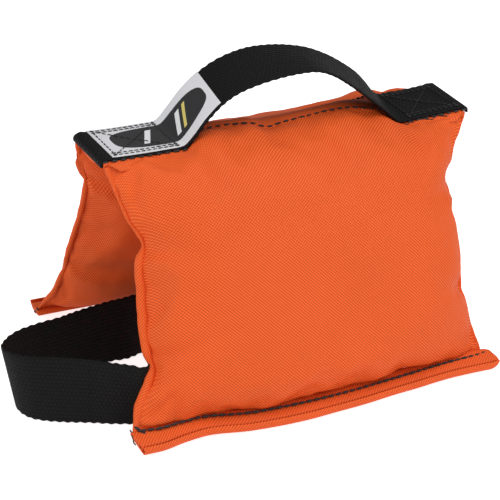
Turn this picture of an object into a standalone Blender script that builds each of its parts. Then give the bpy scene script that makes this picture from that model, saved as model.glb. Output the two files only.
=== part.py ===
"""A saddle sandbag: two sand-filled pouches joined by a flat bridge, with a webbing handle and a side strap.

Metres, +Z up. X runs along the bag, the near pouch is on the -Y side and the far pouch on the +Y side.
The floor is z = 0, and the origin is under the middle of the whole object, the side strap included.
"""

import math

import bmesh
import bpy
from mathutils import Vector
from mathutils.geometry import interpolate_bezier

# Driving dimensions of the bag.
BAG_LENGTH = 0.225  # along the bridge, from end to end
BRIDGE_WIDTH = 0.0392  # between the two stitch lines that the pouches fold at
FACE_LENGTH = 0.1365  # from a fold down to the hem's seam
POUCH_LEAN = math.radians(20)  # from the vertical, as the bag stands
OUTER_BULGE = 0.025  # how far the sand pushes the outer panel out
INNER_BULGE = 0.019
SIDE_PULL = 0.012  # how far the filling pulls each side seam in

# The rolled hem that closes each pouch.
HEM_OVERHANG = 0.0035  # past each end of the bag
HEM_WIDTH = 0.018
HEM_THICKNESS = 0.006
HEM_BEND = math.radians(43)  # outwards from the pouch's own direction
SOLE_FLAT = 0.0003  # pressed off the roll where it bears on the floor

# Cloth, liner, thread and piping.
CLOTH = 0.0006
LINER = 0.0003
THREAD = 0.0016
WELT_RADIUS = 0.0025
GAP = 0.0003  # between pieces that touch
SEAM_ALLOWANCE = 0.0080  # from a seam in to the liner
SLACK = 0.0012  # between the panels and the loose liner, and between the liner and the sand
MOUTH_DROP = 0.0130  # from the fold down to the liner's open mouth
SAND_HEADROOM = 0.0050  # from the liner's mouth down to the sand

# Webbing: the handle over the bridge and the strap at the left end.
WEBBING_WIDTH = 0.038
WEBBING_THICKNESS = 0.0015
LEFT_PATCH = 0.0465  # sewn length of the handle at each end of the bridge
RIGHT_PATCH = 0.0405
PATCH_LIP = 0.0050  # how far the webbing turns down over the bridge's end
HANDLE_RISE = 0.0370
HANDLE_PEAK = 0.45  # the share of the span from the left root to the highest point
LEFT_CLIMB = ((0.11, 0.65), (0.26, 1.0))  # the curve's two control points, as shares of the span and rise
RIGHT_CLIMB = ((0.19, 0.60), (0.38, 1.0))
ROOT_RISE = 0.0140  # the soft stretch at each root, which twists when the handle tilts
STRAP_REACH = 0.0530  # how far the side strap's loop stands out from the bag
LOOP_START = 0.0155  # from the bag's end out to where the loop swings
STRAP_PATCH = 0.0260  # sewn length at each end of the strap
NEAR_PATCH_INSET = 0.0165  # from the bag's left end in to the strap's sewn end on the near pouch
FAR_PATCH_INSET = 0.1350  # and on the far pouch
STRAP_NEAR_Y = -0.0410  # where the loop meets its near leg
STRAP_FAR_Y = 0.0080  # and its far one
STRAP_SEAM_RISE = 0.0020  # from the hem's seam up to the strap's sewn end
FLOOR_CLEARANCE = 0.0006  # under the strap, which stands on edge

# The label and the thread that holds the handle down.
LABEL_THICKNESS = 0.0004
LABEL_WIDTH = 0.0340
LABEL_MARGIN = 0.0045  # from the bridge's end to the label
LABEL_CLIMB = 0.21  # the share of the arch that the label runs up
BOX_MARGIN = 0.0050
BOX_THREAD = 0.0009
BOX_HEIGHT = 0.0004

# The strap's line. The loop is given as shares of its reach and of the width between its legs, from the near
# leg to the far one. Each leg is given as steps along the bag and across it from where it meets the loop.
LOOP_LINE = ((0.27, 0.13), (0.57, 0.26), (0.83, 0.40), (1, 0.61), (0.84, 0.82), (0.57, 0.92), (0.27, 0.98))
NEAR_LEG_LINE = ((0, 0), (0.0100, -0.0065))
NEAR_LEG_APPROACH = (Vector((-0.0117, 0.0067, -0.0105)), Vector((-0.0117, -0.0012, -0.0091)))  # low, high
FAR_LEG_LINE = ((0, 0), (0.0130, 0.0025), (0.0300, 0.0045), (0.0480, 0.0060), (0.0700, 0.0100))
FAR_LEG_SAG = Vector((0, -0.0040, 0))  # midway to its sewn end
FAR_LEG_APPROACH = Vector((-0.0140, -0.0035, 0))  # back from its sewn end
FAR_LEG_MIDWAY = 0.45

# Worked out from the sizes above.
HALF = BAG_LENGTH / 2
FOLD_Y = BRIDGE_WIDTH / 2
HEM_LENGTH = BAG_LENGTH + 2 * HEM_OVERHANG
HEM_RADIUS = HEM_THICKNESS / 2
HEM_START = FACE_LENGTH + GAP + HEM_RADIUS
HEM_RUN = HEM_WIDTH - HEM_THICKNESS
HEM_OUT = HEM_RUN * math.sin(HEM_BEND)
HEM_DOWN = HEM_START + HEM_RUN * math.cos(HEM_BEND)
HEM_DROP = HEM_DOWN * math.cos(POUCH_LEAN) - HEM_OUT * math.sin(POUCH_LEAN)
FOLD_HEIGHT = HEM_DROP + HEM_RADIUS - SOLE_FLAT
BAG_X = (HALF + STRAP_REACH - HEM_LENGTH / 2) / 2
SEAM_CLEARANCE = THREAD / 2 + GAP
PATCH_BOTTOM = FOLD_HEIGHT + SEAM_CLEARANCE
PATCH_TOP = PATCH_BOTTOM + WEBBING_THICKNESS
LABEL_BOTTOM = PATCH_TOP + GAP
LEFT_ROOT = LEFT_PATCH - HALF
RIGHT_ROOT = HALF - RIGHT_PATCH
STRAP_BASE = FLOOR_CLEARANCE + WEBBING_WIDTH / 2
LOOP_X = -HALF - LOOP_START

ORANGE = (0.80, 0.10, 0.015)
DARK_ORANGE = (0.55, 0.05, 0.010)
BLACK = (0.012, 0.012, 0.013)
THREAD_BLACK = (0.020, 0.020, 0.022)
LABEL_WHITE = (0.85, 0.85, 0.83)
SAND = (0.55, 0.42, 0.27)
POLY = (0.70, 0.72, 0.74)

NO_BOW = Vector((0, 0, 0))
NO_OFFSET = Vector((0, 0, 0))
BOW_FADE = 6  # how soon the strap's bow fades away from its sewn end

NEAR, FAR = -1, 1
SIDE_NAMES = {NEAR: "near", FAR: "far"}


def clear_scene():
    for obj in list(bpy.data.objects):
        bpy.data.objects.remove(obj, do_unlink=True)


def make_collection(name):
    collection = bpy.data.collections.new(name)
    bpy.context.scene.collection.children.link(collection)
    return collection


def material(name, colour, roughness):
    made = bpy.data.materials.new(name)
    made.use_nodes = True
    shader = made.node_tree.nodes["Principled BSDF"]
    shader.inputs["Base Color"].default_value = (*colour, 1)
    shader.inputs["Roughness"].default_value = roughness
    shader.inputs["Metallic"].default_value = 0
    made.diffuse_color = (*colour, 1)
    return made


def add_object(name, data, parent, colour, roughness):
    """Links a mesh or curve as a node under its parent empty, with a material of its own."""
    data.materials.append(material(name, colour, roughness))
    obj = bpy.data.objects.new(name, data)
    PARTS.objects.link(obj)
    obj.parent = parent
    return obj


def add_empty(name, location, turn=0.0):
    empty = bpy.data.objects.new(name, None)
    empty.location = location
    empty.rotation_euler = (turn, 0, 0)
    empty.empty_display_size = 0.02
    PARTS.objects.link(empty)
    return empty


def move_to_frame(obj, drawn_in, parent):
    """Keeps an object in place when it was drawn in one empty's frame and hangs on another."""
    obj.data.transform(parent.matrix_basis.inverted() @ drawn_in.matrix_basis)


def mesh_from(bm, name):
    bmesh.ops.recalc_face_normals(bm, faces=bm.faces)
    mesh = bpy.data.meshes.new(name)
    bm.to_mesh(mesh)
    bm.free()
    return mesh


def layered_sheet(columns, rows, place):
    """A closed sheet with two layers: place(u, v, layer) puts each point, with u and v from 0 to 1."""
    bm = bmesh.new()
    bmesh.ops.create_grid(bm, x_segments=columns, y_segments=rows, size=1)
    first = {v: ((v.co.x + 1) / 2, (v.co.y + 1) / 2) for v in bm.verts}
    raised = bmesh.ops.extrude_face_region(bm, geom=list(bm.faces))
    second = {}
    for v in raised["geom"]:
        if isinstance(v, bmesh.types.BMVert):
            second[v] = ((v.co.x + 1) / 2, (v.co.y + 1) / 2)
    for layer, found in enumerate((first, second)):
        for v, (across, down) in found.items():
            v.co = place(across, down, layer)
    return bm


def smooth(mesh):
    mesh.shade_smooth()
    mesh.set_sharp_from_angle(angle=math.radians(35))
    return mesh


# A pouch is drawn in its fold's own frame: x along the bag, z up the face, y across it.


def half_width(down):
    """From the middle of the bag to a side seam, at a distance down the face."""
    share = min(max(down / FACE_LENGTH, 0), 1)
    return HALF - SIDE_PULL * math.sin(math.pi * share) ** 0.7


def bulge(x, down, most):
    """How far the filling pushes a panel off the pouch's middle plane."""
    share = min(max(down / FACE_LENGTH, 0), 1)
    across = min(abs(x) / half_width(down), 1)
    return most * (1 - across**4) * math.sin(math.pi * share**1.2)


def face_point(side, x, down, off):
    """A point on a pouch: off is towards the outside, so it is negative towards the other pouch."""
    return Vector((x, side * off, -down))


def seam_point(end, down, off):
    """A point outside the side seam, square to it."""
    step = 0.001
    slope = (half_width(down + step) - half_width(down - step)) / (2 * step)
    size = math.hypot(1, slope)
    return end * (half_width(down) + off / size), down - off * slope / size


def make_panel(side, name, out, most, parent):
    """One face of a pouch. out is 1 on the outer face and -1 on the inner one."""

    def place(across, along, layer):
        down = SEAM_CLEARANCE + along * (FACE_LENGTH - SEAM_CLEARANCE)
        x = (2 * across - 1) * half_width(down)
        off = bulge(x, down, most) + GAP / 2 + layer * CLOTH
        return face_point(side, x, down, out * off)

    mesh = mesh_from(layered_sheet(16, 12, place), name)
    add_object(name, smooth(mesh), parent, ORANGE, 0.75)


def filling_place(side, inset, top, bottom, clearance, least):
    """Places a pillow inside a pouch, that far in from the seams and that far inside the panels."""

    def place(across, along, layer):
        down = top + along * (bottom - top)
        x = (2 * across - 1) * (half_width(down) - inset)
        out, most = ((-1, INNER_BULGE), (1, OUTER_BULGE))[layer]
        return face_point(side, x, down, out * max(bulge(x, down, most) - clearance, least))

    return place


def make_liner(side, parent):
    name = f"{SIDE_NAMES[side]}_poly_liner"
    bottom = FACE_LENGTH - SEAM_ALLOWANCE
    place = filling_place(side, SEAM_ALLOWANCE, MOUTH_DROP, bottom, SLACK, LINER + GAP)
    bm = layered_sheet(16, 10, place)
    bmesh.ops.recalc_face_normals(bm, faces=bm.faces)
    mouth = [f for f in bm.faces if all(v.co.z > -MOUTH_DROP - 1e-6 for v in f.verts)]
    bmesh.ops.delete(bm, geom=mouth, context="FACES")
    mesh = bpy.data.meshes.new(name)
    bm.to_mesh(mesh)
    bm.free()
    obj = add_object(name, smooth(mesh), parent, POLY, 0.4)
    wall = obj.modifiers.new("Wall", "SOLIDIFY")
    wall.thickness = LINER
    wall.offset = -1
    wall.use_rim = True


def make_sand(side, parent):
    name = f"{SIDE_NAMES[side]}_sand_fill"
    inset = SEAM_ALLOWANCE + LINER + 2 * SLACK
    top = MOUTH_DROP + SAND_HEADROOM
    place = filling_place(side, inset, top, FACE_LENGTH - inset, LINER + 2 * SLACK, GAP / 2)
    mesh = mesh_from(layered_sheet(16, 10, place), name)
    add_object(name, smooth(mesh), parent, SAND, 0.95)


def make_welt(side, end, parent):
    """The turned seam that stands out along one end of a pouch."""
    where = {-1: "left", 1: "right"}[end]
    name = f"{SIDE_NAMES[side]}_{where}_seam_welt"
    curve = bpy.data.curves.new(name, "CURVE")
    curve.dimensions = "3D"
    curve.bevel_depth = WELT_RADIUS
    curve.bevel_resolution = 2
    curve.use_fill_caps = True
    top = PATCH_LIP + 2 * WELT_RADIUS
    bottom = FACE_LENGTH - 2 * WELT_RADIUS
    steps = 14
    spline = curve.splines.new("POLY")
    spline.points.add(steps)
    for i, point in enumerate(spline.points):
        down = top + (bottom - top) * i / steps
        x, level = seam_point(end, down, WELT_RADIUS + 2 * GAP)
        point.co = (*face_point(side, x, level, 0), 1)
    add_object(name, curve, parent, ORANGE, 0.75)


def hem_outline():
    """The flattened roll's section as (out, down) points, from the pouch's middle plane."""
    steps = 8
    along = Vector((math.sin(HEM_BEND), math.cos(HEM_BEND)))
    points = []
    for centre, start in ((HEM_RUN, -0.5), (0.0, 0.5)):
        for i in range(steps + 1):
            turn = math.pi * (start + i / steps)
            ahead = centre + HEM_RADIUS * math.cos(turn)
            aside = HEM_RADIUS * math.sin(turn)
            out = along.x * ahead + along.y * aside
            down = HEM_START + along.y * ahead - along.x * aside
            points.append((out, down))
    return points


def make_hem(side, parent):
    """The mouth's cloth rolled up and stitched down, pressed flat where it meets the floor."""
    name = f"{SIDE_NAMES[side]}_rolled_hem"
    bm = bmesh.new()
    ring = [bm.verts.new(face_point(side, -HEM_LENGTH / 2, d, o)) for o, d in hem_outline()]
    face = bm.faces.new(ring)
    raised = bmesh.ops.extrude_face_region(bm, geom=[face])
    moved = [v for v in raised["geom"] if isinstance(v, bmesh.types.BMVert)]
    bmesh.ops.translate(bm, verts=moved, vec=(HEM_LENGTH, 0, 0))
    bmesh.ops.recalc_face_normals(bm, faces=bm.faces)
    lean = side * POUCH_LEAN
    up = Vector((0, math.sin(lean), math.cos(lean)))
    cut = bmesh.ops.bisect_plane(
        bm,
        geom=bm.verts[:] + bm.edges[:] + bm.faces[:],
        dist=1e-7,
        plane_co=-FOLD_HEIGHT * up,
        plane_no=-up,
        clear_outer=True,
    )
    edges = [e for e in cut["geom_cut"] if isinstance(e, bmesh.types.BMEdge)]
    bmesh.ops.edgeloop_fill(bm, edges=edges)
    add_object(name, mesh_from(bm, name), parent, ORANGE, 0.75)


def make_thread_rod(name, start, end, parent):
    """A run of stitches, as one straight thread."""
    curve = bpy.data.curves.new(name, "CURVE")
    curve.dimensions = "3D"
    curve.bevel_depth = THREAD / 2
    curve.bevel_resolution = 1
    curve.use_fill_caps = True
    spline = curve.splines.new("POLY")
    spline.points.add(1)
    spline.points[0].co = (*start, 1)
    spline.points[1].co = (*end, 1)
    add_object(name, curve, parent, THREAD_BLACK, 0.8)


def make_hem_stitching(side, parent):
    """The thread lies in the crease on top of the hem, just outside the outer panel."""
    off = THREAD / 2 + CLOTH + 4 * GAP
    down = FACE_LENGTH - off
    start = face_point(side, -HALF + WELT_RADIUS, down, off + THREAD)
    end = face_point(side, HALF - WELT_RADIUS, down, off + THREAD)
    make_thread_rod(f"{SIDE_NAMES[side]}_hem_stitching", start, end, parent)


def strap_patch_point(side, x, across, off):
    """A point of the strap's sewn end: across runs from its upper edge to its lower one."""
    down = FACE_LENGTH - STRAP_SEAM_RISE - WEBBING_WIDTH * (1 - across)
    lift = bulge(x, down, INNER_BULGE) + GAP / 2 + CLOTH + GAP + off
    return face_point(side, x, down, -lift)


def make_strap_patch(side, inset, parent):
    name = f"side_strap_{SIDE_NAMES[side]}_end"
    start = inset - HALF

    def place(across, along, layer):
        x = start + across * STRAP_PATCH
        return strap_patch_point(side, x, along, layer * WEBBING_THICKNESS)

    mesh = mesh_from(layered_sheet(4, 6, place), name)
    add_object(name, smooth(mesh), parent, BLACK, 0.7)


def make_pouch(side):
    near = SIDE_NAMES[side]
    location = (BAG_X, side * FOLD_Y, FOLD_HEIGHT)
    fold = add_empty(f"{near}_fold", location, side * POUCH_LEAN)
    make_panel(side, f"{near}_outer_panel", 1, OUTER_BULGE, fold)
    make_panel(side, f"{near}_inner_panel", -1, INNER_BULGE, fold)
    make_liner(side, fold)
    make_sand(side, fold)
    make_welt(side, -1, fold)
    make_welt(side, 1, fold)
    make_hem(side, fold)
    make_hem_stitching(side, fold)
    return fold


# The bridge, the handle and the label stand in the bag's own frame, which is level.


def make_slab(name, low, high, parent, colour, roughness):
    """A level block between two corners."""
    bm = bmesh.new()
    bmesh.ops.create_cube(bm, size=1)
    for v in bm.verts:
        v.co = Vector(low[k] + (v.co[k] + 0.5) * (high[k] - low[k]) for k in range(3))
    add_object(name, mesh_from(bm, name), parent, colour, roughness)


def make_bridge(parent):
    edge = FOLD_Y - SEAM_CLEARANCE
    top = FOLD_HEIGHT + GAP / 2
    under = FOLD_HEIGHT - GAP / 2
    make_slab("bridge_outer_panel", (-HALF, -edge, top), (HALF, edge, top + CLOTH), parent, ORANGE, 0.75)
    make_slab("bridge_lining", (-HALF, -edge, under - CLOTH), (HALF, edge, under), parent, DARK_ORANGE, 0.75)
    for side in (NEAR, FAR):
        start = Vector((-HALF, side * FOLD_Y, FOLD_HEIGHT))
        end = Vector((HALF, side * FOLD_Y, FOLD_HEIGHT))
        make_thread_rod(f"{SIDE_NAMES[side]}_fold_stitching", start, end, parent)


def make_handle_patch(name, end, length, parent):
    """Webbing sewn flat on the bridge, with its end turned down over the bridge's end."""
    outline = [
        (HALF - length, PATCH_BOTTOM),
        (HALF + GAP, PATCH_BOTTOM),
        (HALF + GAP, FOLD_HEIGHT - PATCH_LIP),
        (HALF + GAP + WEBBING_THICKNESS, FOLD_HEIGHT - PATCH_LIP),
        (HALF + GAP + WEBBING_THICKNESS, PATCH_TOP),
        (HALF - length, PATCH_TOP),
    ]
    bm = bmesh.new()
    ring = [bm.verts.new((end * x, -WEBBING_WIDTH / 2, z)) for x, z in outline]
    raised = bmesh.ops.extrude_face_region(bm, geom=[bm.faces.new(ring)])
    moved = [v for v in raised["geom"] if isinstance(v, bmesh.types.BMVert)]
    bmesh.ops.translate(bm, verts=moved, vec=(0, WEBBING_WIDTH, 0))
    add_object(name, mesh_from(bm, name), parent, BLACK, 0.7)


def handle_path(steps):
    """The handle's middle line from root to root, as (x, z) above the bridge."""
    base = PATCH_BOTTOM + WEBBING_THICKNESS / 2
    start, finish = LEFT_ROOT + 2 * WEBBING_THICKNESS, RIGHT_ROOT - 2 * WEBBING_THICKNESS
    span = finish - start
    peak = start + HANDLE_PEAK * span
    crown = Vector((peak, base + HANDLE_RISE))
    climb = [Vector((start + along * span, base + up * HANDLE_RISE)) for along, up in LEFT_CLIMB]
    fall = [Vector((finish - along * span, base + up * HANDLE_RISE)) for along, up in RIGHT_CLIMB]
    left = interpolate_bezier(Vector((start, base)), *climb, crown, steps + 1)
    right = interpolate_bezier(crown, *reversed(fall), Vector((finish, base)), steps + 1)
    return left + right[1:]


def at_share(path, share):
    """The point and unit normal of a path at a share of its points."""
    spot = share * (len(path) - 1)
    i = min(int(spot), len(path) - 2)
    point = path[i].lerp(path[i + 1], spot - i)
    before, after = path[max(i - 1, 0)], path[min(i + 2, len(path) - 1)]
    ahead = (after - before).normalized()
    return point, Vector((-ahead.y, ahead.x))


def share_at_rise(path, rise, from_left):
    """The share of the path where it first stands that far above its roots."""
    fine = [i / 400 for i in range(401)]
    if not from_left:
        fine.reverse()
    base = path[0].y
    return next(share for share in fine if at_share(path, share)[0].y > base + rise)


def make_arch_ribbon(name, path, start, finish, low, high, width, columns, parent, colour):
    """A stretch of ribbon along the handle's path, between two heights off its middle line."""

    def place(across, along, layer):
        point, normal = at_share(path, start + across * (finish - start))
        spot = point + normal * (low, high)[layer]
        return Vector((spot.x, (along - 0.5) * width, spot.y))

    mesh = mesh_from(layered_sheet(columns, 1, place), name)
    return add_object(name, smooth(mesh), parent, colour, 0.7)


def make_handle(bag, tilt):
    path = handle_path(24)
    lower = -WEBBING_THICKNESS / 2
    left = share_at_rise(path, ROOT_RISE, True)
    right = share_at_rise(path, ROOT_RISE, False)
    seam = GAP / 2 / (RIGHT_ROOT - LEFT_ROOT)
    width = WEBBING_WIDTH
    make_arch_ribbon("handle_left_root", path, 0, left - seam, lower, -lower, width, 6, bag, BLACK)
    make_arch_ribbon("handle_right_root", path, right + seam, 1, lower, -lower, width, 6, bag, BLACK)
    start, finish = left + seam, right - seam
    arch = make_arch_ribbon(
        "handle_arch", path, start, finish, lower, -lower, width, 28, tilt, BLACK
    )
    bottom = -lower + GAP
    top = bottom + LABEL_THICKNESS
    label = make_arch_ribbon(
        "woven_label_upper", path, 0.01, LABEL_CLIMB, bottom, top, LABEL_WIDTH, 8, tilt, LABEL_WHITE
    )
    for obj in (arch, label):
        move_to_frame(obj, bag, tilt)


def make_label(parent):
    start = LABEL_MARGIN - HALF
    low = (start, -LABEL_WIDTH / 2, LABEL_BOTTOM)
    high = (LEFT_ROOT - GAP, LABEL_WIDTH / 2, LABEL_BOTTOM + LABEL_THICKNESS)
    make_slab("woven_label", low, high, parent, LABEL_WHITE, 0.8)


def box_cross_outlines(half_x, half_y):
    """A rectangle of thread with its diagonals: the outside, and the four triangles between the threads."""
    t = BOX_THREAD
    rise = t / 2 * math.hypot(1, half_y / half_x)
    reach = t / 2 * math.hypot(1, half_x / half_y)
    wide = (half_y - t - rise) * half_x / half_y
    tall = (half_x - t - reach) * half_y / half_x
    corners = [(-half_x, -half_y), (half_x, -half_y), (half_x, half_y), (-half_x, half_y)]
    holes = []
    for sign in (-1, 1):
        level, edge = sign * (half_y - t), sign * (half_x - t)
        holes.append([(0, sign * rise), (wide, level), (-wide, level)])
        holes.append([(sign * reach, 0), (edge, tall), (edge, -tall)])
    return [corners, *holes]


def make_box_stitching(name, low_x, high_x, bottom, parent):
    """The sewn box and cross that holds one end of the handle to the bridge."""
    curve = bpy.data.curves.new(name, "CURVE")
    curve.dimensions = "2D"
    curve.fill_mode = "BOTH"
    curve.extrude = BOX_HEIGHT / 2
    half_x = (high_x - low_x) / 2 - BOX_MARGIN
    half_y = WEBBING_WIDTH / 2 - BOX_MARGIN
    for outline in box_cross_outlines(half_x, half_y):
        spline = curve.splines.new("POLY")
        spline.points.add(len(outline) - 1)
        spline.use_cyclic_u = True
        for point, (x, y) in zip(spline.points, outline):
            point.co = (x, y, 0, 1)
    obj = add_object(name, curve, parent, THREAD_BLACK, 0.8)
    obj.location = ((low_x + high_x) / 2, 0, bottom + BOX_HEIGHT / 2)


# The side strap: its loop swings on a level axis just outside the bag's left end.


def curve_through(points, steps):
    """A smooth curve through points, with that many steps in each stretch between two of them."""
    ends = [2 * points[0] - points[1], *points, 2 * points[-1] - points[-2]]
    found = []
    for a, b, c, d in zip(ends, ends[1:], ends[2:], ends[3:]):
        for i in range(steps):
            t = i / steps
            turn = (2 * a - 5 * b + 4 * c - d) * t**2 + (3 * b - a - 3 * c + d) * t**3
            found.append(b + 0.5 * ((c - a) * t + turn))
    return [*found, points[-1]]


def make_strap_ribbon(name, lows, highs, steps, parent, offset, bow=NO_BOW):
    """Webbing on edge between a lower and an upper line. Its last edge is bowed to lie on a full pouch."""
    low, high = curve_through(lows, steps), curve_through(highs, steps)
    count = len(low) - 1

    def side_of(i):
        ahead = (low[min(i + 1, count)] - low[max(i - 1, 0)]).normalized()
        return Vector((-ahead.y, ahead.x, 0)) * WEBBING_THICKNESS / 2

    def place(across, along, layer):
        i = round(across * count)
        spot = low[i].lerp(high[i], along) + bow * (4 * along * (1 - along) * across**BOW_FADE)
        return spot + side_of(i) * (-1, 1)[layer] - offset

    mesh = mesh_from(layered_sheet(count, 4, place), name)
    return add_object(name, smooth(mesh), parent, BLACK, 0.7)


def level_lines(points):
    """The lower and upper line of webbing that stands upright on the floor."""
    top = FLOOR_CLEARANCE + WEBBING_WIDTH
    return (
        [Vector((x, y, FLOOR_CLEARANCE)) for x, y in points],
        [Vector((x, y, top)) for x, y in points],
    )


def sewn_edge(side, x):
    """Where the strap's sewn stretch starts, in the bag's frame: its lower and upper ends, and its bow."""
    turn = Vector((0, side * FOLD_Y, FOLD_HEIGHT))
    lean = side * POUCH_LEAN
    found = []
    for across in (1, 0, 0.5):
        spot = strap_patch_point(side, x - GAP, across, WEBBING_THICKNESS / 2 + GAP)
        y = spot.y * math.cos(lean) - spot.z * math.sin(lean)
        z = spot.y * math.sin(lean) + spot.z * math.cos(lean)
        found.append(turn + Vector((spot.x, y, z)))
    low, high, middle = found
    return low, high, middle - (low + high) / 2


def make_loop(bag, swing):
    """The loop of webbing on edge that stands out from the bag's left end."""
    reach = STRAP_REACH - LOOP_START - WEBBING_THICKNESS / 2
    width = STRAP_FAR_Y - STRAP_NEAR_Y
    line = [(LOOP_X - GAP, STRAP_NEAR_Y)]
    line += [(LOOP_X - out * reach, STRAP_NEAR_Y + across * width) for out, across in LOOP_LINE]
    line.append((LOOP_X - GAP, STRAP_FAR_Y))
    lows, highs = level_lines(line)
    make_strap_ribbon("side_strap_loop", lows, highs, 3, swing, swing.location - bag.location)


def make_near_leg(bag, fold):
    """From the loop, leaning over to lie against the near pouch's inner face."""
    sewn_low, sewn_high, bow = sewn_edge(NEAR, NEAR_PATCH_INSET - HALF)
    lows, highs = level_lines([(LOOP_X + x, STRAP_NEAR_Y + y) for x, y in NEAR_LEG_LINE])
    for line, sewn, approach in zip((lows, highs), (sewn_low, sewn_high), NEAR_LEG_APPROACH):
        line += [sewn + approach, sewn]
    make_leg("side_strap_near_leg", lows, highs, fold, bag, bow)


def make_far_leg(bag, fold):
    """From the loop, in between the pouches to the far pouch's inner face."""
    sewn_low, sewn_high, bow = sewn_edge(FAR, FAR_PATCH_INSET - HALF)
    lows, highs = level_lines([(LOOP_X + x, STRAP_FAR_Y + y) for x, y in FAR_LEG_LINE])
    for line, sewn in ((lows, sewn_low), (highs, sewn_high)):
        line.append(line[-1].lerp(sewn, FAR_LEG_MIDWAY) + FAR_LEG_SAG)
        line += [sewn + FAR_LEG_APPROACH, sewn]
    make_leg("side_strap_far_leg", lows, highs, fold, bag, bow)


def make_leg(name, lows, highs, fold, bag, bow):
    """A leg of the strap is drawn in the bag's frame and hung on its pouch's fold."""
    leg = make_strap_ribbon(name, lows, highs, 3, fold, NO_OFFSET, bow)
    move_to_frame(leg, bag, fold)


def main():
    bag = add_empty("bag_frame", (BAG_X, 0, 0))
    tilt = add_empty("handle_axis", (BAG_X, 0, PATCH_TOP))
    swing = add_empty("strap_axis", (BAG_X + LOOP_X, 0, STRAP_BASE))
    make_bridge(bag)
    folds = {side: make_pouch(side) for side in (NEAR, FAR)}
    make_handle_patch("handle_left_end", -1, LEFT_PATCH, bag)
    make_handle_patch("handle_right_end", 1, RIGHT_PATCH, bag)
    make_handle(bag, tilt)
    make_label(bag)
    above = LABEL_BOTTOM + LABEL_THICKNESS + GAP
    make_box_stitching("left_box_stitching", -HALF, LEFT_ROOT, above, bag)
    make_box_stitching("right_box_stitching", RIGHT_ROOT, HALF, LABEL_BOTTOM, bag)
    make_strap_patch(NEAR, NEAR_PATCH_INSET, folds[NEAR])
    make_strap_patch(FAR, FAR_PATCH_INSET, folds[FAR])
    make_loop(bag, swing)
    make_near_leg(bag, folds[NEAR])
    make_far_leg(bag, folds[FAR])


clear_scene()
PARTS = make_collection("saddle_sandbag")
main()
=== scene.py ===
import math

import bmesh
import bpy
import numpy as np
from mathutils import Matrix, Vector, noise


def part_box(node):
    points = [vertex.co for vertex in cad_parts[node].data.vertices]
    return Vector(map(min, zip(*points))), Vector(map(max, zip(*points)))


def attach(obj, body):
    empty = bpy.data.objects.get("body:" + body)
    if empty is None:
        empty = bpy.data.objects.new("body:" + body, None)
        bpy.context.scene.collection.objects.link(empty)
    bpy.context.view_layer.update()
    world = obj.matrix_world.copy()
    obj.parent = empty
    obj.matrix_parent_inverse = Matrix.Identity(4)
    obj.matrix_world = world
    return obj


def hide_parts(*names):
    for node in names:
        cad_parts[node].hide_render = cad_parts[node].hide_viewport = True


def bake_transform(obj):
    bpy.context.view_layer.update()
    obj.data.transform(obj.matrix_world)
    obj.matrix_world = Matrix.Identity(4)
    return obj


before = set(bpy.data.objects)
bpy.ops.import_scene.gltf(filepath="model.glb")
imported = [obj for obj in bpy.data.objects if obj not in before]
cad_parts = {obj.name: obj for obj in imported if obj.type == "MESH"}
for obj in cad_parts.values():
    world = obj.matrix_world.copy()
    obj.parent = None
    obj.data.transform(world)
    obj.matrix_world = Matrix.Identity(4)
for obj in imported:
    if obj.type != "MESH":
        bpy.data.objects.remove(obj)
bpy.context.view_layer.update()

# ---------------------------------------------------------------- sizes, in metres
bridge_low, bridge_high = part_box("bridge_outer_panel")
fold_low, fold_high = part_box("far_fold_stitching")
patch_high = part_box("handle_left_end")[1]
BAG_X = (bridge_low.x + bridge_high.x) / 2
HALF = (bridge_high.x - bridge_low.x) / 2
FOLD_Y = (fold_low.y + fold_high.y) / 2
FOLD_Z = (fold_low.z + fold_high.z) / 2
LEAN = math.radians(20)
FACE = 0.1365  # from the fold down to the hem's seam
CLOTH = 0.0006
WEBBING = 0.0380
WEBBING_THICK = 0.0015
PATCH_MIDDLE = patch_high.z - WEBBING_THICK / 2
NEAR, FAR = -1, 1
SIDE_NAMES = {NEAR: "near", FAR: "far"}
BODIES = {NEAR: "near_pouch", FAR: "far_pouch"}


# ---------------------------------------------------------------- small tools
def curve_of(*knots):
    """A smooth function through (x, y) knots, level beyond its ends."""
    xs = np.array([k[0] for k in knots], float)
    ys = np.array([k[1] for k in knots], float)
    slopes = np.gradient(ys, xs)
    slopes[0] = slopes[-1] = 0

    def value(x):
        x = np.clip(np.asarray(x, float), xs[0], xs[-1])
        i = np.clip(np.searchsorted(xs, x, side="right") - 1, 0, len(xs) - 2)
        step = xs[i + 1] - xs[i]
        t = (x - xs[i]) / step
        rest = 1 - t
        return (
            ys[i] * (1 + 2 * t) * rest**2
            + slopes[i] * step * t * rest**2
            + ys[i + 1] * t**2 * (3 - 2 * t)
            - slopes[i + 1] * step * t**2 * rest
        )

    return value


def ease(t):
    t = np.clip(t, 0, 1)
    return t * t * (3 - 2 * t)


def hump(x, middle, spread):
    return np.exp(-(((x - middle) / spread) ** 2))


def running_length(points):
    """How far along a polyline each of its points lies."""
    return np.r_[0, np.cumsum(np.linalg.norm(np.diff(points, axis=0), axis=1))]


def resampled(points, step):
    """The polyline's points again, a step apart."""
    points = np.asarray(points, float)
    lengths = running_length(points)
    count = max(2, int(round(lengths[-1] / step)) + 1)
    at = np.linspace(0, lengths[-1], count)
    return np.stack([np.interp(at, lengths, points[:, k]) for k in range(3)], axis=1), at


def spline_through(points, steps):
    """A smooth line through points, with that many steps in each stretch."""
    points = [np.asarray(p, float) for p in points]
    ends = [2 * points[0] - points[1], *points, 2 * points[-1] - points[-2]]
    found = []
    for a, b, c, d in zip(ends, ends[1:], ends[2:], ends[3:]):
        for i in range(steps):
            t = i / steps
            turn = (2 * a - 5 * b + 4 * c - d) * t**2 + (3 * b - a - 3 * c + d) * t**3
            found.append(b + 0.5 * ((c - a) * t + turn))
    return np.array([*found, points[-1]])


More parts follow.
